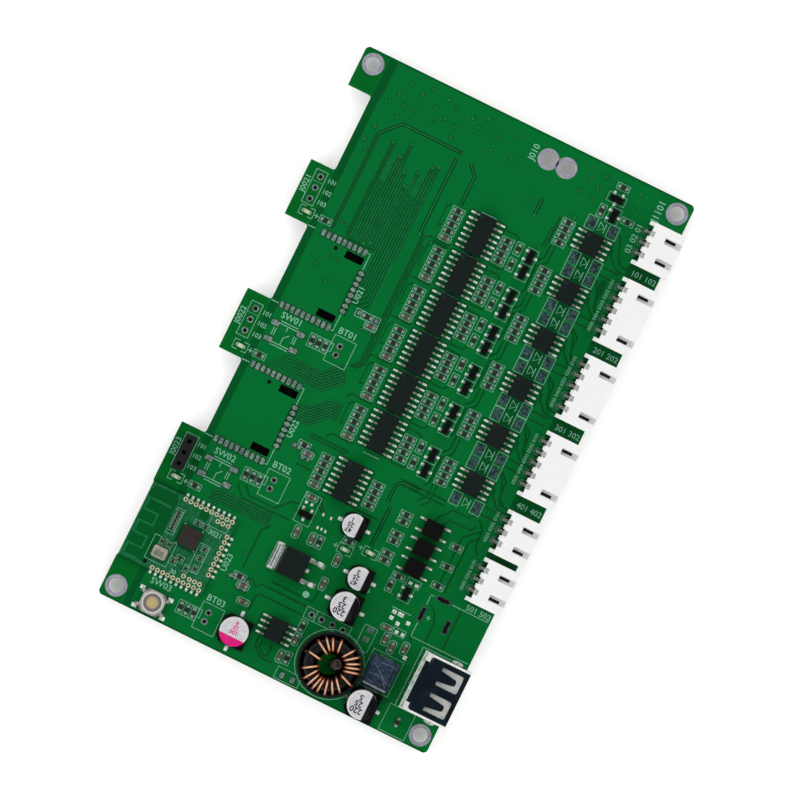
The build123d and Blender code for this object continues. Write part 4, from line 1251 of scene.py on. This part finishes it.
@dataclass
class PrintWork:
    """The pale print: outlines, diode signs and plain numbers."""

    diode_rows: tuple[float, ...] = (51.6, 43.35, 40.35, 32.1, 29.1, 21.0, 17.9, 9.8, 6.7, -1.7, -4.7, -13.0)
    line: float = 0.2

    def outlines(self) -> None:
        """The boxes round the small parts and the larger footprints."""
        square: list[Box] = []
        rounded: list[Box] = []
        for node, kept in (("chip_resistors", square), ("chip_capacitors", rounded)):
            for solid in solids_of(node):
                x, y = solid.middle
                w, h = (1.38, 0.69) if solid.flat else (0.74, 1.42)
                if y > -60:
                    kept.append((x - w, y - h, x + w, y + h))
        square += [(x, y - 1.5, x + 2.2, y + 1.5) for y in self.diode_rows for x in (19.15, 24.15)]
        square += [solid.grown(0.55, 0.3) for solid in solids_of("transistors")
                   if solid.low[1] > -26 or solid.low[0] > -4]
        square += [(-36.5, 28.7, -33.9, 33.8), (-36.5, 33.8, -33.9, 36.3), (-36.5, -2.3, -33.9, 2.9),
                   (-36.5, 2.9, -33.9, 5.4), (-36.5, -33.3, -33.7, -25.5),
                   (-17.6, 0.7, -12.7, 6.7), (-17.6, -30.7, -12.7, -24.8), (-17.6, -61.9, -12.7, -55.9),
                   (-15.9, 12.0, -12.1, 13.7), (-13.0, 10.5, -10.4, 13.7), (-8.4, -32.3, -4.8, -25.6),
                   (2.5, -49.7, 12.8, -47.2), (2.5, -63.8, 8.0, -61.2), (27.1, -63.8, 33.0, -57.8),
                   (18.9, -57.0, 25.9, -49.0), (15.0, -50.7, 17.9, -45.2), (20.8, -44.5, 23.5, -43.0),
                   (18.8, -34.0, 21.8, -32.3), (-18.9, 2.9, -17.0, 4.7), (-18.9, -28.4, -17.0, -26.6),
                   (-18.9, -59.6, -17.0, -57.8)]
        outlines = frames(square) + rounded_frames(rounded, 0.48)
        dress(ribbons("print_boxes", outlines, self.line, Layer.PRINT, loop=True), PRINT)

    def lines(self) -> None:
        """The open lines: chip ends, diode signs, switch signs and the jack's outline."""
        lines: list[list[Point]] = [[(-1.4, y), (2.2, y)] for y in
                                    (43.3, 33.95, 24.65, 15.4, 6.15, -3.15, -12.9)]
        for y in self.diode_rows:
            lines.append([(22.05, y + 1.0), (23.3, y), (22.05, y - 1.0), (22.05, y + 1.0)])
            lines.append([(23.4, y + 1.05), (23.4, y - 1.05)])
        for lamp in solids_of("indicator_lamps"):
            x, y = lamp.middle
            lines += [[(x + side * 0.5, y + 1.0), (x + side * 1.6, y + 1.0), (x + side * 1.6, y - 1.0),
                       (x + side * 0.5, y - 1.0)] for side in (-1, 1)]
        for y in (1.5, -30.2):
            lines += [[(-29.1, y + side * h), (-25.1, y + side * h)] for side in (-1, 1) for h in (2.1, 2.65)]
            lines += [[(x, y - 0.8), (x, y + 0.9)] for x in (-29.85, -29.35, -25.15, -24.65)]
            lines += [[(-27.2, y + 1.9), (-27.2, y + 1.0)], [(-27.2, y - 1.9), (-27.2, y - 0.5), (-26.2, y + 0.5)]]
        lines += [[(25.4, -33.6), (24.7, -33.6), (24.7, -35.9)], [(4.9, -49.7), (4.9, -47.2)],
                  [(24.7, -40.1), (24.7, -43.3), (38, -43.3)], [(29.6, -33.6), (38, -33.6)],
                  [(18.4, -39.4), (22.8, -39.4)],
                  [(28.1, -44.2), (28.1, -57.8)], [(28.1, -44.2), (34.6, -44.2)],
                  [(-19.1, 24.9), (-18.45, 24.9), (-18.45, 21.3)], [(-18.45, 10.9), (-18.45, 7.1), (-19.0, 7.1)],
                  [(-19.1, -6.6), (-18.45, -6.6), (-18.45, -10.3)],
                  [(-18.45, -20.6), (-18.45, -24.3), (-19.0, -24.3)]]
        lines += [[(-33.0, y), (-31.3, y)] for y in BoardSurface.bay_rows]
        for x, y in ((26.3, -38.3), (2.0, -33.1), (7.0, -31.2), (-32.2, 27.2), (-32.2, -4.3),
                     (-32.2, -35.0), (6.6, -27.7), (12.5, -38.8)):
            lines += [[(x - 0.5, y), (x + 0.5, y)], [(x, y - 0.5), (x, y + 0.5)]]
        dress(ribbons("print_lines", lines, self.line, Layer.PRINT), PRINT)
        circle = arc(Choke.centre, 7.35, 0, 360, 64)[:-1]
        dress(ribbons("choke_outline", [circle], self.line, Layer.PRINT, loop=True), PRINT)

    def labels(self) -> None:
        """Plain numbers where the board has words."""
        labels = [("SW01", -27.2, 5.4, 1.45, 0), ("SW02", -27.2, -26.4, 1.45, 0),
                  ("SW03", -27.2, -56.8, 1.45, 0), ("BT01", -15.3, 7.8, 1.45, 0),
                  ("BT02", -15.3, -23.6, 1.45, 0), ("BT03", -15.3, -54.8, 1.45, 0),
                  ("J010", 2.95, 59.6, 1.5, 90), ("J1101", 32.0, 59.9, 1.6, 90),
                  ("U021", -16.85, 16.2, 1.35, 90), ("U022", -16.85, -15.2, 1.35, 90),
                  ("U023", -16.85, -46.5, 1.35, 90), ("J0021", -37.4, 32.5, 1.3, 90),
                  ("J0022", -37.4, 1.6, 1.3, 90), ("J0023", -37.4, -29.2, 1.3, 90)]
        for middle in (32.45, 1.55, -29.4):
            labels += [(text, -32.4, middle + step, 1.05, 0)
                       for text, step in (("101", 2.5), ("102", 0), ("103", -2.5))]
        for number, (y, ways) in enumerate(WireHeaders.rows, 1):
            row = " ".join(f"{k:02d}" * (1 if number == 1 else 2) for k in range(ways, 0, -1))
            labels.append((row, 29.8, y, 1.4 if number == 1 else 0.8, 90))
        for number, y in enumerate((45.8, 27.75, 9.6, -8.6, -32.7), 1):
            labels.append((f"{number}01 {number}02", 35.3, y, 1.3, 0))
        dress(numbers("print_numbers", labels), PRINT)

    def build(self) -> None:
        """Lays the print."""
        self.outlines()
        self.lines()
        self.labels()


@dataclass
class SmallParts:
    """Metal ends and solder for the small two-ended parts, and their finishes."""

    end_length: float = 0.32
    end_width: float = 0.8
    end_height: float = 0.45
    proud: float = 0.015
    solder_reach: float = 0.12

    def ends(self, node: str, body: Finish) -> None:
        """Gives every part of a node two plated ends and two heaps of solder.

        Args:
            node: The CAD node of small parts.
            body: The finish of their bodies.
        """
        repaint({node: body})
        caps, heaps = [], []
        for solid in solids_of(node):
            width, length = sorted(solid.size[:2])
            tall = solid.size[2]
            middle = Vector(solid.middle)
            for turn in (0, 180) if solid.flat else (90, 270):
                scale = (1, (width + 2 * self.proud) / self.end_width,
                         (tall + 2 * self.proud) / self.end_height)
                way = Vector((math.cos(math.radians(turn)), math.sin(math.radians(turn))))
                cap = middle + way * (length / 2 - self.end_length / 2 + self.proud)
                caps.append(at(*cap, solid.low[2] - self.proud, turn, scale))
                foot = middle + way * (length / 2 + self.solder_reach)
                heaps.append(at(*foot, FACE + 0.01, turn, (1, 1, tall / self.end_height)))
        half, side = self.end_length / 2, self.end_width / 2
        source = block("chip_end", (-half, -side, 0), (half, side, self.end_height), 0.05, 1)
        dress(stamp(f"{node}_ends", source, caps), END)
        source = mound("chip_heap", 0.45, self.end_width, 0.3, 0.5, -0.1)
        dress(stamp(f"{node}_solder", source, heaps), END)

    def build(self) -> None:
        """Dresses the three groups."""
        self.ends("chip_resistors", CHIP)
        self.ends("chip_capacitors", BROWN)
        self.ends("indicator_lamps", LAMP)


@dataclass
class Packages:
    """Moulded packages: finishes, solder at their leads, and pin-one marks."""

    pitch: float = 1.27
    lead_middle: float = 3.1
    heap_middle: float = 3.3
    clearance: float = 2.6
    rows: tuple[tuple[str, int, int], ...] = (("logic_chip", 7, 7), ("driver_chip", 7, 4))

    def chips(self) -> None:
        """The two columns of SO packages."""
        heaps, marks, bare = [], [], []
        for stem, count, ways in self.rows:
            for number in range(1, count + 1):
                node = f"{stem}_{number}"
                repaint({node: PACKAGE})
                box = box_of(node)
                x, y = box.middle
                turned = number == count and stem == "driver_chip" and box.flat
                strip = (ways * self.pitch, self.clearance) if turned else (self.clearance, ways * self.pitch)
                for side in (-1, 1):
                    reach = (0, side * self.lead_middle) if turned else (side * self.lead_middle, 0)
                    bare.append((x + reach[0], y + reach[1], *strip))
                    turn = (0 if side > 0 else 180) + 90 * turned
                    for k in range(ways):
                        step = (k - (ways - 1) / 2) * self.pitch
                        out = side * self.heap_middle
                        place = (step, out) if turned else (out, step)
                        heaps.append(at(x + place[0], y + place[1], FACE + 0.01, turn))
                marks.append(at(x - 1.3, y + (ways - 1) / 2 * self.pitch - 0.2, box.high[2] - 0.005))
        dress(plates("lead_clearances", bare, Layer.POUR), GAP)
        repaint({"logic_chip_leads": LEAD, "driver_chip_leads": LEAD})
        source = mound("lead_heap", 1.35, 0.54, 0.24, 0.55, 0.1)
        dress(stamp("chip_lead_solder", source, heaps), SOLDER)
        source = ring("pin_one_mark", (0, 0, 0), 0.3, 0.24, 0.015, 20)
        dress(stamp("pin_one_marks", source, marks), SLATE)

    def feet(self) -> None:
        """The transistors and optocouplers, with the solder at their feet."""
        repaint({"transistors": INK, "transistor_leads": LEAD, "optocouplers": INK, "optocoupler_leads": LEAD})
        heaps = []
        for node, size in (("transistor_leads", (0.9, 0.75, 1.5)), ("optocoupler_leads", (1.35, 0.62, 1.5))):
            for foot in solids_of(node):
                heaps.append(at(*foot.middle, FACE + 0.01, 0 if foot.size[0] >= foot.size[1] else 90, size))
        source = mound("foot_heap", 1.25, 0.85, 0.16, 0.62)
        dress(stamp("foot_solder", source, heaps), SOLDER)
        areas = [(-8.3, -40.6, 2.0, 6.2), (1.4, -38.4, 1.3, 1.1), (1.4, -42.9, 1.3, 1.1),
                 (22.15, -56.6, 3.2, 1.6)]
        dress(plates("power_pads", areas, Layer.PAD, thick=0.05), END)

    def diode(self) -> None:
        """The power diode, with its moulded skirt, its folded end and the streaks on its top."""
        repaint({"power_diode": SLATE, "diode_straps": LAND})
        body = box_of("power_diode")
        (_, near, _), (_, far, top) = body.low, body.high
        dress(block("diode_skirt", (19.3, near + 0.1, FACE + 0.1), (25.4, far + 0.2, top - 0.25), 0.15), SLATE)
        dress(block("diode_tail", (19.7, near - 0.05, FACE + 0.1), (25.0, near + 0.4, top + 0.015), 0.1), TINNED)
        streaks = [[(20.3, -51.6), (22.2, -52.9), (24.4, -54.6)], [(20.2, -53.9), (22.6, -53.7)],
                   [(21.4, -51.0), (24.2, -50.7)], [(22.9, -53.6), (24.6, -55.6)], [(20.4, -55.2), (21.6, -55.5)]]
        dress(ribbons("diode_streaks", streaks, 0.12, Layer.POUR, base=top - 0.01), STREAK)

    def regulator(self) -> None:
        """The regulator, with the light lines on its heat tab and the solder round it."""
        repaint({"regulator_body": PACKAGE, "regulator_leads": LEAD})
        lights = [(-8.0, -40.65, 0.5, 5.2), (-8.65, -40.65, 0.25, 5.0), (-7.5, -40.65, 0.22, 5.0)]
        tab = box_of("regulator_leads").high[2]
        dress(plates("tab_lights", lights, Layer.POUR, base=tab), SOLDER)
        blobs = [(-8.3, -37.9, 1.6, 0.9), (-0.9, -38.2, 1.4, 1.0), (1.0, -38.2, 1.6, 1.2), (-1.0, -40.65, 1.0, 1.0),
                 (-0.8, -43.1, 1.4, 1.0), (1.0, -43.0, 1.5, 1.2), (-8.3, -43.3, 1.6, 0.7)]
        source = mound("power_heap", 1.0, 1.0, 0.5, 0.55)
        places = [at(x, y, FACE + 0.02, 0, (w, h, 1.2)) for x, y, w, h in blobs]
        dress(stamp("regulator_solder", source, places), SOLDER)

    def build(self) -> None:
        """Dresses the packages."""
        self.chips()
        self.feet()
        self.diode()
        self.regulator()


@dataclass
class WireHeaders:
    """The six side-entry headers and the solder at their pins."""

    rows: tuple[tuple[float, int], ...] = ((52.5, 3), (36.9, 5), (18.95, 5), (0.85, 5), (-15.1, 3), (-26.35, 3))
    pitch: float = 2.5
    pin_x: float = 31.4

    def pins(self) -> list[Point]:
        """The places of the pins."""
        return [(self.pin_x, y + (k - (ways - 1) / 2) * self.pitch) for y, ways in self.rows for k in range(ways)]

    def build(self) -> None:
        """Dresses the headers."""
        repaint({f"wire_header_{number}": NYLON for number in range(1, len(self.rows) + 1)})
        repaint({"header_pins": PIN})
        pins = self.pins()
        places = [at(x, y, FACE) for x, y in pins]
        source = drum("pin_heap", (0, 0, 0), 0.5, 0.4, sides=16, top_radius=0.4)
        dress(stamp("header_solder", source, places), LAND)
        source = ring("pin_land", (0, 0, 0), 0.88, 0.66, 0.05, 24)
        dress(stamp("header_lands", source, places), LAND)
        # Painted shade: dark plates beside each pin at the headers' backs.
        shades = [(32.0, y + side * 0.625, 0.45, 0.35) for _, y in pins for side in (-1, 1)]
        dress(plates("header_shades", shades, Layer.POUR, base=FACE + 0.3), INK_AND_PAINTED_SHADE)
        # Painted shade: the bridges over the notches are greyer than the nylon, for the shade on the headers' rear.
        bridges = [(32.85, y, 0.95, 1.24) for _, y in pins]
        dress(plates("header_bridges", bridges, Layer.POUR, base=FACE + 3.2, thick=0.3), IVORY_AND_PAINTED_SHADE)


@dataclass
class TypeASocket:
    """The type A socket: plated shell, moulded insulator and rolled edges."""

    middle: float = -51.05
    roll_radius: float = 0.27
    roll_length: float = 8.6
    roll_x: float = 35.2
    half_width: float = 6.28
    cover_middle: float = 5.13
    cover_half: float = 0.7

    def build(self) -> None:
        """Dresses the socket."""
        # The shell and the corner covers carry a painted dark reflection on their upward faces.
        repaint({"usb_shell": SHEET_PAINTED_REFLECTION, "usb_insulator": IVORY_AND_PAINTED_SHADE, "usb_contacts": LEAD})
        top = box_of("usb_shell").high[2]
        rolls, covers = [], []
        for side in (-1, 1):
            clear_selection()
            place = (self.roll_x * MM, (self.middle + side * self.half_width) * MM, (top - self.roll_radius) * MM)
            bpy.ops.mesh.primitive_cylinder_add(vertices=16, radius=self.roll_radius * MM,
                                                depth=self.roll_length * MM, location=place,
                                                rotation=(0, math.pi / 2, 0))
            rolls.append(settle("roll"))
        edges = join("socket_rolled_edges", rolls)
        smooth(edges)
        dress(edges, BRIGHT)
        source = drum("leg_heap", (0, 0, 0), 0.75, 0.5, sides=20, top_radius=0.4)
        lands = [at(36.1, y, FACE, 0, (1.7, 0.6, 1)) for y in (-44.15, -57.9)]
        dress(stamp("socket_leg_solder", source, lands), SOLDER)
        dress(block("socket_rear", (28.9, -57.5, top - 1.2), (29.72, -44.6, top + 0.02), 0.15), REAR)
        for side in (-1, 1):
            y = self.middle + side * self.cover_middle
            covers.append(block("cover", (30.6, y - self.cover_half, top - 0.1),
                                (31.1, y + self.cover_half, top + 0.01), 0.03, 1))
        dress(join("socket_corner_covers", covers), SHEET_PAINTED_REFLECTION)


@dataclass
class Choke:
    """The wound choke in its cup, with its turns as bent round wire."""

    centre: Point = (12.0, -56.2)
    floor_height: float = 0.8
    wire: float = 0.3
    tails: tuple[Point, ...] = ((6.29, -55.83), (17.69, -55.42))
    tail_end: float = -1.3
    lump_middle: Point = (13.3, -55.5)
    lump_radius: float = 1.6
    lump_foot: float = 0.2
    lump_height: float = 3.0
    turns: tuple[Box, ...] = (
        (12.1, -50.4, 12.4, -53.1), (10.2, -50.8, 11.4, -53.3), (8.9, -51.3, 10.8, -53.6),
        (7.6, -52.6, 10.6, -54.4), (6.8, -55.5, 9.9, -56.0), (7.2, -59.2, 10.0, -57.4),
        (8.4, -61.0, 10.3, -58.2), (9.7, -61.9, 10.9, -58.9), (10.9, -62.2, 11.7, -59.2),
        (12.1, -62.3, 12.3, -59.3), (13.8, -62.2, 13.1, -59.1), (15.3, -61.4, 13.9, -58.9),
        (16.5, -60.4, 14.4, -57.9), (18.0, -58.1, 15.1, -57.0), (18.3, -55.2, 15.2, -56.0),
        (18.1, -54.2, 15.1, -55.2), (17.7, -53.2, 15.0, -54.5), (16.9, -52.0, 14.3, -54.0),
        (15.4, -51.1, 13.7, -53.5))

    def turn_route(self, turn: Box) -> list[Vector]:
        """Leads one turn's wire round the core's section.

        Args:
            turn: The outer and the inner end in plan, in millimetres.

        Returns:
            The points of a closed route.
        """
        outer, inner = Vector((*turn[:2], 0)), Vector((*turn[2:], 0))
        inward = (inner - outer) * 0.16
        low = FACE + self.floor_height + 0.05
        high = box_of("choke_winding").high[2] - self.wire
        down, foot, shoulder, up = (Vector((0, 0, z)) for z in (low + self.wire, low + 1.0, high - 0.85, high))
        return [outer + foot, outer + shoulder, outer + inward + up, inner - inward + up,
                inner + shoulder, inner + foot, inner - inward + down, outer + inward + down]

    def winding(self) -> None:
        """The copper turns, and the two tails through the board."""
        clear_selection()
        route = bpy.data.curves.new("choke_turns", "CURVE")
        route.dimensions = "3D"
        route.bevel_depth = (self.wire - 0.03) * MM
        route.bevel_resolution = 2
        route.resolution_u = 4
        route.use_fill_caps = True
        lines = [(self.turn_route(turn), "NURBS") for turn in self.turns]
        lines += [([Vector((x, y, z)) for z in (FACE + 2.0, self.tail_end)], "POLY") for x, y in self.tails]
        for points, kind in lines:
            spline = route.splines.new(kind)
            spline.points.add(len(points) - 1)
            for point, place in zip(spline.points, points):
                point.co = (*(place * MM), 1)
            if kind == "NURBS":
                spline.order_u = 3
                spline.use_cyclic_u = True
        activate(link("choke_turns", route))
        bpy.ops.object.convert(target="MESH")
        piece = settle("choke_turns")
        smooth(piece, 60)
        # The turns carry a painted highlight on top and painted shade on their flanks.
        dress(piece, COPPER)
        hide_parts("choke_winding")

    def lump(self) -> None:
        """The heap of glue at the right of the hole, with two folds on it."""
        foot = FACE + self.lump_foot
        heap = drum("heap", (*self.lump_middle, foot), self.lump_radius, self.lump_height, 0.3, 28, 1.25)
        folds = [arc(self.lump_middle, 1.05, 10, 225, 12), arc(self.lump_middle, 0.5, -70, 150, 12)]
        edges = ribbons("folds", folds, 0.3, Layer.POUR, base=foot + self.lump_height, rise=0.12)
        dress(join("choke_glue_lump", [heap, edges]), GLUE)

    def build(self) -> None:
        """Dresses the choke."""
        repaint({"choke_cup": BLACK, "choke_core": FERRITE, "choke_glue": GLUE})
        self.winding()
        x, y = self.centre
        # Painted light: the hole's floor is brighter green than the mask.
        dress(drum("choke_hole_floor", (x - 0.3, y, FACE + 0.02), 2.3, 1.2, 0.1, 40), PAINTED_LIGHT_MASK)
        self.lump()


@dataclass
class Capacitors:
    """Five electrolytic cans with marked tops."""

    cut_at: float = 1.2
    wall: float = 0.34
    texts: tuple[str, ...] = ("47", "47", "220", "100", "220")
    pink: int = 4
    feet: tuple[tuple[float, float, float], ...] = (
        (0.6, -27.7, 0), (6.8, -27.7, 180), (6.5, -37.1, 0), (12.7, -37.1, 180), (5.4, -43.7, 0),
        (13.3, -43.8, 180), (-9.1, -54.8, 270), (-9.1, -62.7, 90), (25.3, -60.8, 180))

    def top(self, number: int, text: str) -> None:
        """Marks the top of one can.

        Args:
            number: The can's number.
            text: The number printed first on it.
        """
        can = box_of(f"capacitor_can_{number}")
        x, y = can.middle
        top = can.high[2]
        radius = can.size[0] / 2 - self.wall
        dress(ring(f"can_{number}_rim", (x, y, top - 0.03), radius + 0.2, radius, 0.035, 48), BRIGHT)
        down = number == self.pink
        finish = PINK if down else MARK
        segment = drum(f"can_{number}_mark", (x, y, top - 0.3), radius + 0.375, 0.32, 0.1, 64)
        edit_all()
        normal = (0, -1, 0) if down else (1, 0, 0)
        edge = Vector((x, y, 0)) + Vector(normal) * self.cut_at
        bpy.ops.mesh.bisect(plane_co=edge * MM, plane_no=normal, use_fill=True, clear_inner=True)
        bpy.ops.object.mode_set(mode="OBJECT")
        dress(segment, finish)
        scale = 0.95 if down else 1.3 if radius > 2.5 else 1.05
        across, along = (x, y + 0.9) if down else (x - 0.75, y)
        rows = [(word, across, along - step * scale, scale, 180)
                for word, step in ((text, 1.1), ("25", 0.0), (str(number), -1.1))]
        dress(numbers(f"can_{number}_numbers", rows, base=top, layer=Layer.POUR, bold=0.03), finish)

    def build(self) -> None:
        """Dresses the cans."""
        source = mound("can_heap", 1.5, 0.95, 0.5, 0.55, 0.1)
        dress(stamp("can_solder", source, [at(x, y, FACE + 0.02, turn) for x, y, turn in self.feet]), SOLDER)
        repaint({"capacitor_bases": INK, "capacitor_leads": LEAD})
        for number, text in enumerate(self.texts, 1):
            repaint({f"capacitor_can_{number}": CAN})
            self.top(number, text)


@dataclass
class ResetSwitch:
    """The push switch on the lowest left tab."""

    foot: Point = (3.25, 2.1)

    def build(self) -> None:
        """Dresses the switch. Its button moves."""
        repaint({"switch_base": BLACK, "switch_cover": COVER, "switch_dome": LID, "switch_button": TAN,
                 "switch_leads": LEAD})
        cover = box_of("switch_cover")
        x, y = cover.middle
        dress(ring("switch_collar", (x, y, cover.high[2] - 0.02), 2.25, 2.05, 0.08, 40), BRIGHT)
        heaps = [at(x + sx * self.foot[0], y + sy * self.foot[1], FACE + 0.01, 0 if sx > 0 else 180)
                 for sx in (-1, 1) for sy in (-1, 1)]
        source = mound("switch_heap", 1.3, 1.0, 0.35, 0.55, -0.2)
        dress(stamp("switch_solder", source, heaps), SOLDER)


@dataclass
class RadioModule:
    """The radio module: gold edge pads, its antenna line and its fine parts."""

    first: float = -30.5
    pitch: float = 1.21
    side_first: float = -41.7
    side_pitch: float = 1.27
    antenna_rows: tuple[float, ...] = (-41.3, -43.9, -46.5, -49.1, -51.7, -54.2)
    antenna_ends: Point = (-34.3, -37.5)

    def edges(self) -> None:
        """The gold pads along three edges, and their solder."""
        columns = [self.first + self.pitch * k for k in range(10)]
        sides = [self.side_first - self.side_pitch * k for k in range(8)]
        pads = [(x, y) for x in columns for y in (-54.4, -38.4)]
        pads += [(-19.2, y) for y in sides]
        pads += [(x, y) for x in (-22.4, -21.2, -20.0) for y in (-39.6, -53.2)] + [(-23.8, -53.1)]
        source = ring("edge_ring", (0, 0, 0), 0.5, 0.24, 0.05, 16)
        dress(stamp("module_gold_rings", source, [at(x, y, MODULE_FACE - 0.02) for x, y in pads]), GOLD)
        source = drum("edge_mouth", (0, 0, 0), 0.25, 0.03, sides=14)
        dress(stamp("module_mouths", source, [at(x, y, MODULE_FACE - 0.015) for x, y in pads]), RUST)
        field = [(-34.8, -46.3, 6.2, 15.6), (-26.3, -45.2, 5.4, 5.6), (-25.6, -39.5, 2.0, 2.6)]
        dress(plates("antenna_field", field, Layer.POUR, base=MODULE_FACE, thick=0.014), GAP)
        heaps = [at(x, y, FACE + 0.01, turn) for x in columns for y, turn in ((-55.35, -90), (-37.45, 90))]
        heaps += [at(-18.2, y, FACE + 0.01) for y in sides]
        source = mound("module_heap", 1.0, 0.75, 0.5, 0.5, -0.15)
        dress(stamp("module_solder", source, heaps), SOLDER)

    def antenna(self) -> None:
        """The antenna's winding line."""
        first, *others = self.antenna_rows
        line: list[Point] = [(-32.4, first), (self.antenna_ends[1], first)]
        for k, y in enumerate(others):
            line += [(line[-1][0], y), (self.antenna_ends[k % 2], y)]
        dress(ribbons("antenna_line", [line], 0.7, Layer.TRACK, base=MODULE_FACE), TRACK)

    def details(self) -> None:
        """The panel, the numbers, the print, the tracks and the ends of the fine parts."""
        panel = plates("crystal_panel", [(-30.6, -51.1, 1.9, 1.3)], Layer.POUR, base=box_of("radio_crystal").high[2])
        dress(panel, LEAD)
        labels = [("3021", -21.7, -42.3, 1.15, 0), ("30", -26.2, -53.3, 1.0, 0)]
        dress(numbers("module_numbers", labels, base=MODULE_FACE), PRINT)
        chips = solids_of("radio_small_chips")
        boxes = [chip.grown(0.3, 0.3) for chip in chips]
        boxes += [(-33.0, -53.1, -28.0, -47.7), (-23.7, -51.6, -21.4, -45.2), (-31.3, -46.4, -29.6, -40.6),
                  (-23.9, -41.2, -19.7, -38.6)]
        boxes += [(x - 0.12, y - 0.12, x + 0.12, y + 0.12) for x in (-28.3, -24.2) for y in (-47.5, -43.0)]
        dress(ribbons("module_print", frames(boxes), 0.16, Layer.PRINT, base=MODULE_FACE, loop=True), PRINT)
        fans = [[(-29.0 + 0.6 * k, -42.8), (-29.6 + 0.6 * k, -41.6), (-29.6 + 0.6 * k, -39.2)] for k in range(6)]
        fans += [[(-24.0, -43.6 - 0.6 * k), (-23.7, -43.6 - 0.6 * k)] for k in range(6)]
        fans += [[(-25.0 + 0.5 * k, -47.9), (-23.8 + 0.5 * k, -50.2)] for k in range(3)]
        dress(ribbons("module_tracks", fans, 0.22, Layer.TRACK, base=MODULE_FACE), TRACK)
        ends = []
        for chip in chips:
            x, y = chip.middle
            for side in (-0.42, 0.42):
                place = (x + side, y) if chip.flat else (x, y + side)
                ends.append(at(*place, chip.low[2] - 0.01, 0 if chip.flat else 90))
        source = block("fine_end", (-0.14, -0.28, 0), (0.14, 0.28, 0.38), 0.04, 1)
        dress(stamp("module_chip_ends", source, ends), LEAD)

    def build(self) -> None:
        """Dresses the module."""
        repaint({"radio_board": MODULE_MASK, "radio_chip": FUSCOUS, "radio_crystal": LID,
                 "radio_small_chips": CHIP})
        self.edges()
        self.antenna()
        self.details()


class SocketStrip:
    """The three-way socket strip."""

    def build(self) -> None:
        """Dresses the strip."""
        repaint({"socket_strip": BLACK, "socket_strip_pins": LEAD})


@dataclass
class Underside:
    """The solder cones under the board, round every pin that comes through."""

    height: float = 0.6
    foot: float = 0.8
    tip: float = 0.38
    legs: tuple[Point, ...] = ((36.2, -44.65), (36.2, -57.45))
    leg_scale: tuple[float, float, float] = (1.8, 0.75, 1.0)

    def build(self) -> None:
        """Stamps the cones."""
        pins = [*WireHeaders().pins(), *Choke.tails]
        for node, x in (("socket_strip_pins", -35.1), ("usb_contacts", 28.75)):
            pins += [(x, solid.middle[1]) for solid in solids_of(node)]
        places = [at(x, y) for x, y in pins] + [at(x, y, 0, 0, self.leg_scale) for x, y in self.legs]
        source = drum("pin_cone", (0, 0, -self.height), self.tip, self.height, sides=16, top_radius=self.foot)
        dress(stamp("underside_solder", source, places), SOLDER)


def main() -> None:
    """Builds every part of the dressed board in order."""
    logging.basicConfig(level=logging.INFO, format="%(message)s")
    for part in (BoardSurface(), PrintWork(), SmallParts(), Packages(), WireHeaders(), TypeASocket(),
                 Choke(), Capacitors(), ResetSwitch(), RadioModule(), SocketStrip(), Underside(), Studio()):
        LOG.info("building %s", type(part).__name__)
        part.build()


if __name__ == "__main__":
    main()
